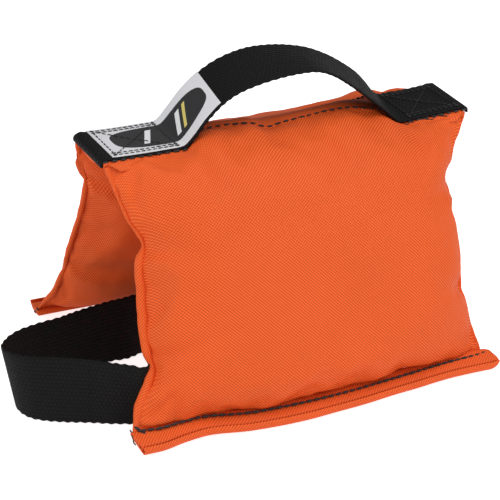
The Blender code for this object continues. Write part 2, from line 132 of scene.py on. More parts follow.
def mesh_object(name, points, faces, uvs, material):
    """A mesh object at the origin. uvs gives a pair for each corner of each face."""
    mesh = bpy.data.meshes.new(name)
    mesh.from_pydata([tuple(p) for p in points], [], [tuple(f) for f in faces])
    layer = mesh.uv_layers.new(name="cloth_map")
    flat = [c for face in uvs for pair in face for c in pair]
    layer.data.foreach_set("uv", np.array(flat, np.float32))
    mesh.materials.append(material)
    mesh.shade_smooth()
    mesh.validate()
    obj = bpy.data.objects.new(name, mesh)
    bpy.context.scene.collection.objects.link(obj)
    return obj


def outward(obj):
    """Turns all the faces of a closed mesh outwards."""
    bm = bmesh.new()
    bm.from_mesh(obj.data)
    bmesh.ops.recalc_face_normals(bm, faces=bm.faces)
    bm.to_mesh(obj.data)
    bm.free()
    return obj


def made_plain(obj):
    """Applies every modifier of an object to its mesh."""
    graph = bpy.context.evaluated_depsgraph_get()
    mesh = bpy.data.meshes.new_from_object(
        obj.evaluated_get(graph), preserve_all_data_layers=True, depsgraph=graph
    )
    obj.modifiers.clear()
    obj.data = mesh
    return obj


def swept(name, rings, along, around, material, caps=True):
    """A tube through rings of points, with a map in metres along it and around it."""
    rings = np.asarray(rings, float)
    count, size = rings.shape[:2]
    points = rings.reshape(-1, 3)
    faces, uvs = [], []
    around = np.r_[around, around[-1] + (around[-1] - around[-2])]
    for i in range(count - 1):
        for k in range(size):
            n = (k + 1) % size
            faces.append((i * size + k, i * size + n, (i + 1) * size + n, (i + 1) * size + k))
            uvs.append(
                (
                    (along[i], around[k]),
                    (along[i], around[k + 1]),
                    (along[i + 1], around[k + 1]),
                    (along[i + 1], around[k]),
                )
            )
    if caps:
        for ring, spot in ((range(size), 0), (range((count - 1) * size, count * size), count - 1)):
            faces.append(tuple(ring))
            uvs.append(tuple((along[spot], around[k]) for k in range(size)))
    return outward(mesh_object(name, points, faces, uvs, material))


# ---------------------------------------------------------------- the pouches' shape
# A pouch has its own frame at its fold: x along the bag, out from its middle plane, and down its face.
SEAM_END = (0.0032, 0.1415)  # where both faces meet above the rolled hem, as (out, down)

# How far each side seam stands from the bag's middle, by how far down the pouch it is.
SEAM_LEFT = {
    NEAR: curve_of(
        (0, 0.1110), (0.008, 0.1090), (0.020, 0.1050), (0.031, 0.1010), (0.041, 0.0960), (0.045, 0.0955),
        (0.053, 0.0980), (0.066, 0.0991), (0.080, 0.1002), (0.095, 0.1005), (0.104, 0.0998), (0.110, 0.0988),
        (0.116, 0.1006), (0.123, 0.1048), (0.131, 0.1097), (0.1415, 0.1138),
    ),
    FAR: curve_of(
        (0, 0.1105), (0.012, 0.1080), (0.024, 0.1036), (0.036, 0.1002), (0.050, 0.0992), (0.070, 0.1003),
        (0.090, 0.1022), (0.108, 0.1034), (0.124, 0.1068), (0.1415, 0.1130),
    ),
}
SEAM_RIGHT = {
    NEAR: curve_of(
        (0, 0.1108), (0.011, 0.1061), (0.019, 0.1020), (0.030, 0.0966), (0.0376, 0.0926), (0.043, 0.0944),
        (0.052, 0.0950), (0.067, 0.0972), (0.081, 0.0980), (0.095, 0.0974), (0.103, 0.0976), (0.114, 0.0998),
        (0.124, 0.1016), (0.131, 0.1028), (0.1415, 0.1050),
    ),
    FAR: curve_of(
        (0, 0.1108), (0.014, 0.1060), (0.030, 0.1000), (0.044, 0.0975), (0.060, 0.1000), (0.080, 0.1010),
        (0.100, 0.0985), (0.112, 0.0985), (0.124, 0.1025), (0.1415, 0.1080),
    ),
}
# Where the filling pinches each side seam, as (down, the slope of the fold that runs in from there).
PINCHES = {
    (NEAR, -1): ((0.0430, 0.40), (0.1075, -0.35)),
    (NEAR, 1): ((0.0375, 0.25), (0.1040, -0.30)),
    (FAR, -1): ((0.0300, 0.30), (0.1040, -0.25)),
    (FAR, 1): ((0.0440, 0.35), (0.1080, -0.35)),
}
# How far each row of fold stitches stands in from its pouch's fold, and above it.
FOLD_IN = {
    NEAR: curve_of(
        (-0.066, 0.0), (-0.056, 0.0095), (-0.041, 0.0125), (-0.030, 0.0115), (-0.021, 0.0105),
        (-0.013, 0.0085), (0.000, 0.0085), (0.012, 0.0095), (0.026, 0.0105), (0.040, 0.0108), (0.055, 0.0094),
        (0.064, 0.0080), (0.070, 0.0048), (0.076, 0.0010), (0.082, 0.0),
    ),
    FAR: curve_of(
        (-0.066, 0.0), (-0.054, 0.0085), (-0.040, 0.0120), (-0.015, 0.0122), (0.010, 0.0124), (0.036, 0.0100),
        (0.056, 0.0060), (0.072, 0.0),
    ),
}
FOLD_UP = {
    NEAR: curve_of(
        (-0.066, 0.0012), (-0.056, 0.0045), (-0.041, 0.0060), (-0.030, 0.0060), (-0.021, 0.0054),
        (-0.013, 0.0030), (-0.004, 0.0042), (0.010, 0.0050), (0.024, 0.0058), (0.040, 0.0056),
        (0.052, 0.0040),
        (0.060, 0.0024), (0.0655, -0.0008), (0.072, -0.0040), (0.082, -0.0036), (0.104, -0.0022),
        (0.1125, -0.0018),
    ),
    FAR: curve_of(
        (-0.066, 0.0004), (-0.050, -0.0004), (-0.010, -0.0012), (0.030, -0.0008), (0.050, -0.0004),
        (0.072, -0.0026), (0.090, -0.0026), (0.1125, -0.0018),
    ),
}
# How far out each hem waves along the floor.
HEM_WAVE = {
    NEAR: curve_of(
        (-0.113, 0.0004), (-0.104, 0.0006), (-0.090, -0.0018), (-0.078, -0.0028), (-0.052, 0.0024),
        (-0.022, 0.0044), (0.010, 0.0039), (0.045, 0.0012), (0.081, -0.0012), (0.113, 0.0),
    ),
    FAR: curve_of(
        (-0.113, -0.0008), (-0.070, -0.0014), (-0.030, 0.0022), (0.020, 0.0034), (0.070, -0.0012),
        (0.113, 0.0012),
    ),
}


def profile_of(*points):
    """A smooth line through (out, down) points, by its share of length."""
    line = spline_through([(a, b, 0.0) for a, b in points], 12)
    lengths = running_length(line)
    shares = lengths / lengths[-1]
    return lambda share: (np.interp(share, shares, line[:, 0]), np.interp(share, shares, line[:, 1]))


# The middle section of a full pouch, from the fold round to the hem's seam: its outer face and its inner one.
SECTIONS = {
    1: profile_of(
        (0, 0), (0.0042, -0.0014), (0.0115, 0.0010), (0.0180, 0.0080), (0.0222, 0.0220), (0.0245, 0.0450),
        (0.0250, 0.0650), (0.0243, 0.0860), (0.0225, 0.1060), (0.0195, 0.1230), (0.0160, 0.1345),
        (0.0125, 0.1408),
        (0.0094, 0.1431), (0.0062, 0.1428), SEAM_END,
    ),
    -1: profile_of(
        (0, 0), (-0.0030, 0.0012), (-0.0080, 0.0065), (-0.0130, 0.0200), (-0.0170, 0.0420), (-0.0190, 0.0680),
        (-0.0190, 0.0900), (-0.0176, 0.1110), (-0.0142, 0.1270), (-0.0095, 0.1365), (-0.0042, 0.1412),
        (0.0004, 0.1424), SEAM_END,
    ),
}


def directions(side):
    out = np.array([0, side * math.cos(LEAN), math.sin(LEAN)])
    down = np.array([0, side * math.sin(LEAN), -math.cos(LEAN)])
    return out, down


def settle(side, x, down):
    """How far the hem's slow waves push the lower part of a pouch outwards along the floor."""
    return HEM_WAVE[side](x) * ease((down - 0.095) / 0.040)


def pouch_point(side, x, out, down):
    """World points from a pouch's own frame."""
    x, out, down = np.broadcast_arrays(*(np.asarray(a, float) for a in (x, out, down)))
    out_way, down_way = directions(side)
    base = np.array([BAG_X, side * FOLD_Y, FOLD_Z])
    found = base + out[..., None] * out_way + down[..., None] * down_way
    found[..., 0] += x
    found[..., 1] += side * settle(side, x, down)
    return found


def fold_line(side, x):
    """The row of fold stitches, as (out, down) in the pouch's frame."""
    inward, up = FOLD_IN[side](x), FOLD_UP[side](x)
    out = -inward * math.cos(LEAN) + up * math.sin(LEAN)
    down = -inward * math.sin(LEAN) - up * math.cos(LEAN)
    return out, down


def seam_reach(side, end, down):
    return (SEAM_LEFT if end < 0 else SEAM_RIGHT)[side](down)


def seam_section(side, x, share):
    """Where the side seams run, as (out, down)."""
    start_out, start_down = fold_line(side, x)
    keep = 1 - ease(share / 0.25)
    out = start_out * keep + SEAM_END[0] * ease((share - 0.88) / 0.12)
    return out, start_down * keep + SEAM_END[1] * share


def creases(side, x, down):
    """Folds that run into the cloth from where the filling pinches the side seams."""
    depth = np.zeros(np.broadcast(x, down).shape)
    for end in (-1, 1):
        for at, slope in PINCHES[side, end]:
            inward = np.clip(seam_reach(side, end, at) - end * x, 0, None)
            off = (down - at) - slope * inward
            fade = np.exp(-inward / 0.018)
            depth += 0.0040 * fade * hump(off, 0, 0.0036 + 0.12 * inward)
            depth -= 0.0018 * fade * hump(off, 0.0080, 0.0050)
    return depth


# How far the outer face sinks just past the fold stitches.
SHOULDER_DROP = {
    NEAR: curve_of(
        (-0.1125, 0.0010), (-0.070, 0.0006), (0.000, 0.0012), (0.030, 0.0022), (0.055, 0.0038),
        (0.078, 0.0026),
        (0.1125, 0.0008),
    ),
    FAR: curve_of(
        (-0.1125, 0.0080), (-0.060, 0.0140), (-0.020, 0.0165), (0.030, 0.0170), (0.055, 0.0130),
        (0.078, 0.0038), (0.096, 0.0002), (0.1125, -0.0004),
    ),
}


def slump(side, x, share):
    return SHOULDER_DROP[side](x) * ease(share / 0.024) * (1 - ease((share - 0.10) / 0.22))


def fullness(side, across, face):
    """How much of the middle section's bulge is left towards the side seams."""
    return np.clip(1 - np.abs(across) ** 4.6, 0, 1) ** (0.52 if face > 0 else 0.60)


def cover_point(side, across, share, face):
    """A point of a filled pouch: across runs -1 to 1, share from fold to hem, and face 1 is the outer one."""
    level = share * SEAM_END[1]
    x = np.where(across < 0, across * seam_reach(side, -1, level), across * seam_reach(side, 1, level))
    seam_out, seam_down = seam_section(side, x, share)
    start_out, start_down = fold_line(side, x)
    keep = 1 - ease(share / 0.30)
    out, down = SECTIONS[face](share)
    full = fullness(side, across, face)
    dent = creases(side, x, down) * np.clip(full * 3, 0, 1) * np.clip(np.sin(np.pi * share) * 4, 0, 1)
    out = seam_out + (out + start_out * keep - seam_out) * full - face * dent
    down = seam_down + (down + start_down * keep - seam_down) * full
    if face > 0:
        down = down + slump(side, x, share)
    return pouch_point(side, x, out, down), x, down


def spaced(count, bend):
    """Shares from -1 to 1, closer together towards both ends."""
    t = np.linspace(-1, 1, count + 1)
    return np.sign(t) * (1 - (1 - np.abs(t)) ** bend)


COVER_GRID = (76, 50)  # faces across a pouch, and from its fold to its hem
INNER_MAP_SHIFT = 0.4  # keeps the inner face's place on the cloth map clear of the outer one's


def make_cover(side, material):
    """Both faces of a pouch as one closed cushion, joined along the fold, the side seams and the hem."""
    columns, rows = COVER_GRID
    across = spaced(columns, 1.8)
    share = (spaced(rows, 1.5) + 1) / 2
    grid_a, grid_s = np.meshgrid(across, share, indexing="ij")
    outer, x, _ = cover_point(side, grid_a, grid_s, 1)
    inner, _, _ = cover_point(side, grid_a, grid_s, -1)
    outside = np.arange((columns + 1) * (rows + 1)).reshape(columns + 1, rows + 1)
    inside = outside.copy()
    inside[1:-1, 1:-1] = outside.size + np.arange((columns - 1) * (rows - 1)).reshape(columns - 1, rows - 1)
    points = np.concatenate([outer.reshape(-1, 3), inner[1:-1, 1:-1].reshape(-1, 3)])
    length = np.broadcast_to(running_length(outer[columns // 2]), x.shape)
    faces, uvs = [], []
    for ids, shift, turned in ((outside, 0.0, False), (inside, INNER_MAP_SHIFT, True)):
        for i in range(columns):
            for k in range(rows):
                ring = [(i, k), (i + 1, k), (i + 1, k + 1), (i, k + 1)]
                if turned:
                    ring.reverse()
                faces.append([ids[p] for p in ring])
                uvs.append([(x[p] + shift, length[p]) for p in ring])
    obj = outward(mesh_object(f"{SIDE_NAMES[side]}_pouch_cover", points, faces, uvs, material))
    border = sorted(set(outside[[0, -1], :].ravel()) | set(outside[:, [0, -1]].ravel()))
    return obj, [int(i) for i in border]


FILL_FRAMES = 20
FILL_MOST = 0.0045  # how far the filling may push the cloth from its drawn shape


def inflate(obj, held, most):
    """Lets the cloth fill and buckle under the sand's push, with its seams held, and caps how far it goes."""
    group = obj.vertex_groups.new(name="seams")
    group.add(held, 1.0, "REPLACE")
    cloth = obj.modifiers.new("Filling", "CLOTH")
    settings = cloth.settings
    settings.quality = 7
    settings.mass = 0.3
    settings.tension_stiffness = 18
    settings.compression_stiffness = 14
    settings.shear_stiffness = 8
    settings.bending_stiffness = 0.6
    settings.vertex_group_mass = "seams"
    settings.pin_stiffness = 1
    settings.use_pressure = True
    settings.uniform_pressure_force = 4
    settings.shrink_min = settings.shrink_max = -0.035  # the cloth is cut a little full
    settings.effector_weights.gravity = 0
    cloth.collision_settings.use_collision = False
    cloth.collision_settings.use_self_collision = False
    before = np.empty(len(obj.data.vertices) * 3)
    obj.data.vertices.foreach_get("co", before)
    scene = bpy.context.scene
    for step in range(1, FILL_FRAMES + 1):
        scene.frame_set(step)
    graph = bpy.context.evaluated_depsgraph_get()
    after = np.empty(len(obj.data.vertices) * 3)
    obj.evaluated_get(graph).data.vertices.foreach_get("co", after)
    obj.modifiers.clear()
    obj.vertex_groups.clear()
    scene.frame_set(1)
    before, moved = before.reshape(-1, 3), (after - before).reshape(-1, 3)
    far = np.linalg.norm(moved, axis=1, keepdims=True)
    capped = moved * np.where(far > 1e-9, most * np.tanh(far / most) / np.maximum(far, 1e-9), 1)
    obj.data.vertices.foreach_set("co", (before + capped).ravel())
    obj.data.update()


def subdivided(obj, levels=1):
    smoother = obj.modifiers.new("Smooth", "SUBSURF")
    smoother.levels = smoother.render_levels = levels
    return made_plain(obj)


def ruffle(obj, height, size, seed):
    """Gives cloth the faint unevenness of a hand-sewn bag, along its normals."""
    mesh = obj.data
    count = len(mesh.vertices)
    points, normals = np.empty(count * 3), np.empty(count * 3)
    mesh.vertices.foreach_get("co", points)
    mesh.vertices.foreach_get("normal", normals)
    points, normals = points.reshape(-1, 3), normals.reshape(-1, 3)
    offset = Vector((seed * 3.1, seed * 1.7, seed * 0.9))
    lift = np.array([noise.noise(Vector(p) / size + offset) for p in points])
    mesh.vertices.foreach_set("co", (points + normals * (height * lift)[:, None]).ravel())
    mesh.update()


# ---------------------------------------------------------------- shader node groups
def socket(tree, name, in_out, kind, value=None):
    made = tree.interface.new_socket(name=name, in_out=in_out, socket_type=kind)
    if value is not None:
        made.default_value = value
    return made


class Nodes:
    """Short calls for building a node tree."""

    def __init__(self, tree):
        self.tree = tree

    def add(self, kind, **settings):
        node = self.tree.nodes.new(kind)
        for key, value in settings.items():
            setattr(node, key, value)
        return node

    def join(self, source, target):
        self.tree.links.new(source, target)

    def put(self, value, target):
        if isinstance(value, bpy.types.NodeSocket):
            self.join(value, target)
        else:
            target.default_value = value

    def math(self, operation, a, b=0.0, c=0.0, clamp=False):
        node = self.add("ShaderNodeMath", operation=operation, use_clamp=clamp)
        for value, target in zip((a, b, c), node.inputs):
            self.put(value, target)
        return node.outputs[0]

    def mix(self, share, a, b):
        node = self.add("ShaderNodeMix", data_type="RGBA")
        self.put(share, node.inputs[0])
        self.put(a, node.inputs[6])
        self.put(b, node.inputs[7])
        return node.outputs[2]

    def noise(self, vector, scale, detail=2.0, rough=0.5):
        node = self.add("ShaderNodeTexNoise")
        self.join(vector, node.inputs["Vector"])
        node.inputs["Scale"].default_value = scale
        node.inputs["Detail"].default_value = detail
        node.inputs["Roughness"].default_value = rough
        return node.outputs["Fac"]


def new_group(name, inputs, outputs):
    tree = bpy.data.node_groups.new(name, "ShaderNodeTree")
    for label, kind, value in inputs:
        socket(tree, label, "INPUT", kind, value)
    for label, kind in outputs:
        socket(tree, label, "OUTPUT", kind)
    n = Nodes(tree)
    return tree, n, n.add("NodeGroupInput"), n.add("NodeGroupOutput")


def rounded(n, value):
    """A yarn's round back: 1 along its middle and 0 at its sides."""
    off = n.math("SUBTRACT", n.math("FRACT", value), 0.5)
    square = n.math("MULTIPLY", off, off)
    return n.math("SQRT", n.math("MULTIPLY_ADD", square, -3.6, 1.0, clamp=True))


def make_weave_group():
    """Plain weave: yarns over and under in turn, so two slanting ribs cross. Its Shade, which the materials
    use for colour, is darker where the weave's height is low: painted shade in the weave's hollows. Its map
    is in metres.
    """
    tree, n, came, goes = new_group(
        "plain_weave",
        [
            ("Map", "NodeSocketVector", None),
            ("Yarn Pitch", "NodeSocketFloat", 0.001),
            ("Rising", "NodeSocketFloat", 0.5),
            ("Falling", "NodeSocketFloat", 0.5),
        ],
        [("Height", "NodeSocketFloat"), ("Shade", "NodeSocketFloat")],
    )
    parts = n.add("ShaderNodeSeparateXYZ")
    n.join(came.outputs["Map"], parts.inputs[0])
    warp = n.math("DIVIDE", parts.outputs[0], came.outputs["Yarn Pitch"])
    weft = n.math("DIVIDE", parts.outputs[1], came.outputs["Yarn Pitch"])
    falling = n.math("COSINE", n.math("MULTIPLY", n.math("ADD", warp, weft), math.pi))
    rising = n.math("COSINE", n.math("MULTIPLY", n.math("SUBTRACT", warp, weft), math.pi))
    falling = n.math("MULTIPLY", falling, came.outputs["Falling"])
    both = n.math("ADD", falling, n.math("MULTIPLY", rising, came.outputs["Rising"]))
    level = n.math("MULTIPLY_ADD", both, 0.5, 0.5)
    n.join(level, goes.inputs["Height"])
    # Painted shade: the colour follows the weave's height, darker in the gaps between the yarns.
    n.join(n.math("ADD", level, 0.0, clamp=True), goes.inputs["Shade"])
    return tree


def make_webbing_group():
    """Webbing: rows of rounded floats, each row half a step on from the last. Its Shade is lighter on the
    floats' round backs and darker between them: painted shade on the weave's relief. Its map is in metres.
    """
    tree, n, came, goes = new_group(
        "webbing_weave",
        [
            ("Map", "NodeSocketVector", None),
            ("Row", "NodeSocketFloat", 0.0023),
            ("Float Pitch", "NodeSocketFloat", 0.0023),
        ],
        [("Height", "NodeSocketFloat"), ("Shade", "NodeSocketFloat")],
    )
    parts = n.add("ShaderNodeSeparateXYZ")
    n.join(came.outputs["Map"], parts.inputs[0])
    row = n.math("DIVIDE", parts.outputs[1], came.outputs["Row"])
    step = n.math("MULTIPLY", n.math("FLOORED_MODULO", n.math("FLOOR", row), 2.0), 0.5)
    ahead = n.math("ADD", n.math("DIVIDE", parts.outputs[0], came.outputs["Float Pitch"]), step)
    floats = n.math("MULTIPLY", rounded(n, row), rounded(n, ahead))
    n.join(floats, goes.inputs["Height"])
    # Painted shade: the colour follows the floats' height, darkest between them.
    n.join(n.math("MULTIPLY", floats, floats), goes.inputs["Shade"])
    return tree


def make_handling_group():
    """Slow changes of colour over a piece, and the dust and rubbing that dull it in patches."""
    tree, n, came, goes = new_group(
        "handling",
        [("Place", "NodeSocketVector", None), ("Patch Size", "NodeSocketFloat", 0.03)],
        [("Tone", "NodeSocketFloat"), ("Rub", "NodeSocketFloat")],
    )
    scaled = n.add("ShaderNodeVectorMath", operation="SCALE")
    n.join(came.outputs["Place"], scaled.inputs[0])
    n.join(n.math("DIVIDE", 1.0, came.outputs["Patch Size"]), scaled.inputs["Scale"])
    n.join(n.noise(scaled.outputs[0], 1.0, 3.0), goes.inputs["Tone"])
    n.join(n.noise(scaled.outputs[0], 4.7, 4.0, 0.6), goes.inputs["Rub"])
    return tree


NYLON_YARN = 0.00092
LABEL_YARN = 0.0007
WEBBING_ROW = 0.0023
# The nylon's colour on the yarns and in the gaps between them: the darker gap colour is partly the coating's
# own and partly painted shade in the weave's hollows.
NYLON_LIGHT, NYLON_DEEP = (0.99, 0.166, 0.028), (0.62, 0.056, 0.007)
# The webbing's colour on the floats' tops and between them: the darker colour is painted shade on the weave's
# relief.
WEBBING_LIGHT, WEBBING_DEEP = (0.0080, 0.0078, 0.0080), (0.0016, 0.0016, 0.0017)
THREAD_LIGHT, THREAD_DEEP = (0.035, 0.032, 0.033), (0.008, 0.007, 0.008)
LABEL_LENGTH = 0.0752
# The label cloth's colour on the yarns and in the gaps between them: the darker gap colour is painted shade
# in the weave's hollows.
LABEL_LIGHT, LABEL_DEEP = (0.86, 0.86, 0.88), (0.62, 0.62, 0.66)
LABEL_PANEL = (0.022, 0.022, 0.024)
# The label's bars: how far from its panel's middle, half the length along it, and the colour.
LABEL_BARS = (
    (0.0100, 0.0017, (0.80, 0.80, 0.82)),
    (0.0155, 0.0012, (0.70, 0.58, 0.16)),
    (-0.0110, 0.0017, (0.80, 0.80, 0.82)),
)
LABEL_BAR_SLOPE, LABEL_BAR_HALF_WIDE = 0.45, 0.0078

PLAIN_WEAVE = make_weave_group()
WEBBING_WEAVE = make_webbing_group()
HANDLING = make_handling_group()


def use_group(n, tree, **values):
    node = n.add("ShaderNodeGroup", node_tree=tree)
    for key, value in values.items():
        n.put(value, node.inputs[key.replace("_", " ")])
    return node


def new_material(name, colour, roughness, sheen, level=0.3):
    material = bpy.data.materials.new(name)
    material.use_nodes = True
    shader = material.node_tree.nodes["Principled BSDF"]
    shader.inputs["Roughness"].default_value = roughness
    shader.inputs["Sheen Weight"].default_value = sheen
    shader.inputs["Sheen Roughness"].default_value = 0.4
    shader.inputs["Sheen Tint"].default_value = (*[min(1.0, c * 1.6 + 0.1) for c in colour], 1)
    shader.inputs["Specular IOR Level"].default_value = level
    material.diffuse_color = (*colour, 1)
    return material, Nodes(material.node_tree), shader


def bump(n, height, depth, shader):
    node = n.add("ShaderNodeBump")
    node.inputs["Strength"].default_value = 1.0
    node.inputs["Distance"].default_value = depth
    n.join(height, node.inputs["Height"])
    n.join(node.outputs[0], shader.inputs["Normal"])


def make_nylon(name, light, deep):
    """Coated orange nylon, woven plain, with painted shade in the weave's gaps and painted light on its ribs
    that changes down the panel.
    """
    material, n, shader = new_material(name, light, 0.62, 0.0, 0.24)
    map_node = n.add("ShaderNodeUVMap", uv_map="cloth_map")
    place = n.add("ShaderNodeTexCoord")
    parts = n.add("ShaderNodeSeparateXYZ")
    n.join(map_node.outputs[0], parts.inputs[0])
    patches = use_group(n, HANDLING, Place=place.outputs["Object"], Patch_Size=0.045)
    # Painted light: the weave's two slanting ribs trade strength with the distance down the panel and in
    # random patches, as light catches the weave where the cloth turns.
    lower = n.math("MULTIPLY_ADD", parts.outputs[1], 11.0, -0.05, clamp=True)
    lower = n.math("ADD", lower, n.math("MULTIPLY_ADD", patches.outputs["Tone"], 0.8, -0.4), clamp=True)
    rising = n.math("MULTIPLY_ADD", lower, 0.75, 0.15)
    falling = n.math("MULTIPLY_ADD", lower, -0.45, 0.85)
    weave = use_group(
        n, PLAIN_WEAVE, Map=map_node.outputs[0], Yarn_Pitch=NYLON_YARN, Rising=rising, Falling=falling
    )
    # Painted shade: the deep colour fills the weave's low places.
    colour = n.mix(weave.outputs["Shade"], (*deep, 1), (*light, 1))
    tone = n.math("MULTIPLY_ADD", patches.outputs["Tone"], 0.14, 0.93)
    shaded = n.add("ShaderNodeHueSaturation")
    n.join(colour, shaded.inputs["Color"])
    n.join(tone, shaded.inputs["Value"])
    n.join(shaded.outputs[0], shader.inputs["Base Color"])
    n.join(n.math("MULTIPLY_ADD", patches.outputs["Rub"], 0.18, 0.53), shader.inputs["Roughness"])
    bump(n, weave.outputs["Height"], 0.00010, shader)
    return material


def make_webbing_material(name):
    """Matt black polypropylene webbing, with painted shade between its floats."""
    material, n, shader = new_material(name, WEBBING_LIGHT, 0.6, 0.0, 0.14)
    map_node = n.add("ShaderNodeUVMap", uv_map="cloth_map")
    place = n.add("ShaderNodeTexCoord")
    weave = use_group(n, WEBBING_WEAVE, Map=map_node.outputs[0], Row=WEBBING_ROW, Float_Pitch=WEBBING_ROW)
    patches = use_group(n, HANDLING, Place=place.outputs["Object"], Patch_Size=0.02)
    colour = n.mix(weave.outputs["Shade"], (*WEBBING_DEEP, 1), (*WEBBING_LIGHT, 1))
    n.join(colour, shader.inputs["Base Color"])
    n.join(n.math("MULTIPLY_ADD", patches.outputs["Rub"], 0.25, 0.45), shader.inputs["Roughness"])
    bump(n, weave.outputs["Height"], 0.00040, shader)
    return material


def make_thread_material(name):
    """Twisted black thread."""
    material, n, shader = new_material(name, (0.018, 0.016, 0.017), 0.6, 0.1, 0.4)
    place = n.add("ShaderNodeTexCoord")
    patches = use_group(n, HANDLING, Place=place.outputs["Object"], Patch_Size=0.002)
    colour = n.mix(patches.outputs["Tone"], (*THREAD_DEEP, 1), (*THREAD_LIGHT, 1))
    n.join(colour, shader.inputs["Base Color"])
    n.join(n.math("MULTIPLY_ADD", patches.outputs["Rub"], 0.2, 0.5), shader.inputs["Roughness"])
    return material


def make_label_material(name, length):
    """A white woven label with a plain dark panel and two pale bars, and painted shade in the weave's gaps.
    """
    material, n, shader = new_material(name, (0.82, 0.82, 0.84), 0.6, 0.05, 0.35)
    map_node = n.add("ShaderNodeUVMap", uv_map="cloth_map")
    place = n.add("ShaderNodeTexCoord")
    weave = use_group(n, PLAIN_WEAVE, Map=map_node.outputs[0], Yarn_Pitch=LABEL_YARN)
    patches = use_group(n, HANDLING, Place=place.outputs["Object"], Patch_Size=0.012)
    parts = n.add("ShaderNodeSeparateXYZ")
    n.join(map_node.outputs[0], parts.inputs[0])
    ahead = n.math("SUBTRACT", parts.outputs[0], length * 0.52)
    aside = parts.outputs[1]

    def panel(half_long, half_wide, power):
        a = n.math("POWER", n.math("ABSOLUTE", n.math("DIVIDE", ahead, half_long)), power)
        b = n.math("POWER", n.math("ABSOLUTE", n.math("DIVIDE", aside, half_wide)), power)
        return n.math("LESS_THAN", n.math("ADD", a, b), 1.0)

    def bar(middle, half_long, slope):
        lean = n.math("SUBTRACT", ahead, n.math("MULTIPLY", aside, slope))
        off = n.math("ABSOLUTE", n.math("SUBTRACT", lean, middle))
        near = n.math("LESS_THAN", off, half_long)
        return n.math("MULTIPLY", near, n.math("LESS_THAN", n.math("ABSOLUTE", aside), LABEL_BAR_HALF_WIDE))

    dark = panel(length * 0.42, 0.0120, 3.2)
    # Painted shade in the weave's gaps, under the printed panel and bars.
    colour = n.mix(weave.outputs["Shade"], (*LABEL_DEEP, 1), (*LABEL_LIGHT, 1))
    colour = n.mix(dark, colour, (*LABEL_PANEL, 1))
    for middle, half_long, paint in LABEL_BARS:
        colour = n.mix(bar(middle, half_long, LABEL_BAR_SLOPE), colour, (*paint, 1))
    n.join(colour, shader.inputs["Base Color"])
    n.join(n.math("MULTIPLY_ADD", patches.outputs["Rub"], 0.2, 0.45), shader.inputs["Roughness"])
    bump(n, weave.outputs["Height"], 0.00006, shader)
    return material


NYLON = make_nylon("orange_nylon_weave", NYLON_LIGHT, NYLON_DEEP)
WEBBING_BLACK = make_webbing_material("black_webbing_weave")
THREAD_BLACK = make_thread_material("black_bonded_thread")
LABEL_CLOTH = make_label_material("white_label_cloth", LABEL_LENGTH)


# ---------------------------------------------------------------- stitches, made by Geometry Nodes
def make_stitch_tree():
    """Repeats one stitch along a line of edges: pitch, length, thread radius and a fixed seed."""
    tree = bpy.data.node_groups.new("stitch_row", "GeometryNodeTree")
    socket(tree, "Line", "INPUT", "NodeSocketGeometry")
    socket(tree, "Pitch", "INPUT", "NodeSocketFloat", 0.005)
    socket(tree, "Stitch Length", "INPUT", "NodeSocketFloat", 0.0036)
    socket(tree, "Thread Radius", "INPUT", "NodeSocketFloat", 0.0005)
    socket(tree, "Unevenness", "INPUT", "NodeSocketFloat", 0.12)
    socket(tree, "Seed", "INPUT", "NodeSocketInt", 4)
    socket(tree, "Thread", "INPUT", "NodeSocketMaterial")
    socket(tree, "Stitches", "OUTPUT", "NodeSocketGeometry")
    n = Nodes(tree)
    came, goes = n.add("NodeGroupInput"), n.add("NodeGroupOutput")
    line = n.add("GeometryNodeMeshToCurve")
    n.join(came.outputs["Line"], line.inputs["Mesh"])
    even = n.add("GeometryNodeResampleCurve", mode="LENGTH")
    n.join(line.outputs[0], even.inputs["Curve"])
    n.join(came.outputs["Pitch"], even.inputs["Length"])
    ball = n.add("GeometryNodeMeshUVSphere")
    ball.inputs["Segments"].default_value = 7
    ball.inputs["Rings"].default_value = 6
    ball.inputs["Radius"].default_value = 1.0
    half = n.math("MULTIPLY", came.outputs["Stitch Length"], 0.5)
    size = n.add("ShaderNodeCombineXYZ")
    n.join(half, size.inputs[0])
    n.join(came.outputs["Thread Radius"], size.inputs[1])
    n.join(came.outputs["Thread Radius"], size.inputs[2])
    stitch = n.add("GeometryNodeTransform")
    n.join(ball.outputs["Mesh"], stitch.inputs["Geometry"])
    n.join(size.outputs[0], stitch.inputs["Scale"])
    tangent = n.add("GeometryNodeInputTangent")
    align = n.add("FunctionNodeAlignRotationToVector", axis="X")
    n.join(tangent.outputs[0], align.inputs["Vector"])
    low = n.math("SUBTRACT", 1.0, came.outputs["Unevenness"])
    high = n.math("ADD", 1.0, came.outputs["Unevenness"])
    chance = n.add("FunctionNodeRandomValue", data_type="FLOAT")
    floats = [s for s in chance.inputs if s.type == "VALUE"]
    n.join(low, floats[0])
    n.join(high, floats[1])
    n.join(came.outputs["Seed"], chance.inputs["Seed"])
    placed = n.add("GeometryNodeInstanceOnPoints")
    n.join(even.outputs[0], placed.inputs["Points"])
    n.join(stitch.outputs[0], placed.inputs["Instance"])
    n.join(align.outputs[0], placed.inputs["Rotation"])
    made = next(s for s in chance.outputs if s.enabled and s.type == "VALUE")
    n.join(made, placed.inputs["Scale"])
    real = n.add("GeometryNodeRealizeInstances")
    n.join(placed.outputs[0], real.inputs[0])
    smooth = n.add("GeometryNodeSetShadeSmooth")
    n.join(real.outputs[0], smooth.inputs[0])
    painted = n.add("GeometryNodeSetMaterial")
    n.join(smooth.outputs[0], painted.inputs["Geometry"])
    n.join(came.outputs["Thread"], painted.inputs["Material"])
    n.join(painted.outputs[0], goes.inputs["Stitches"])
    return tree


STITCH_TREE = make_stitch_tree()


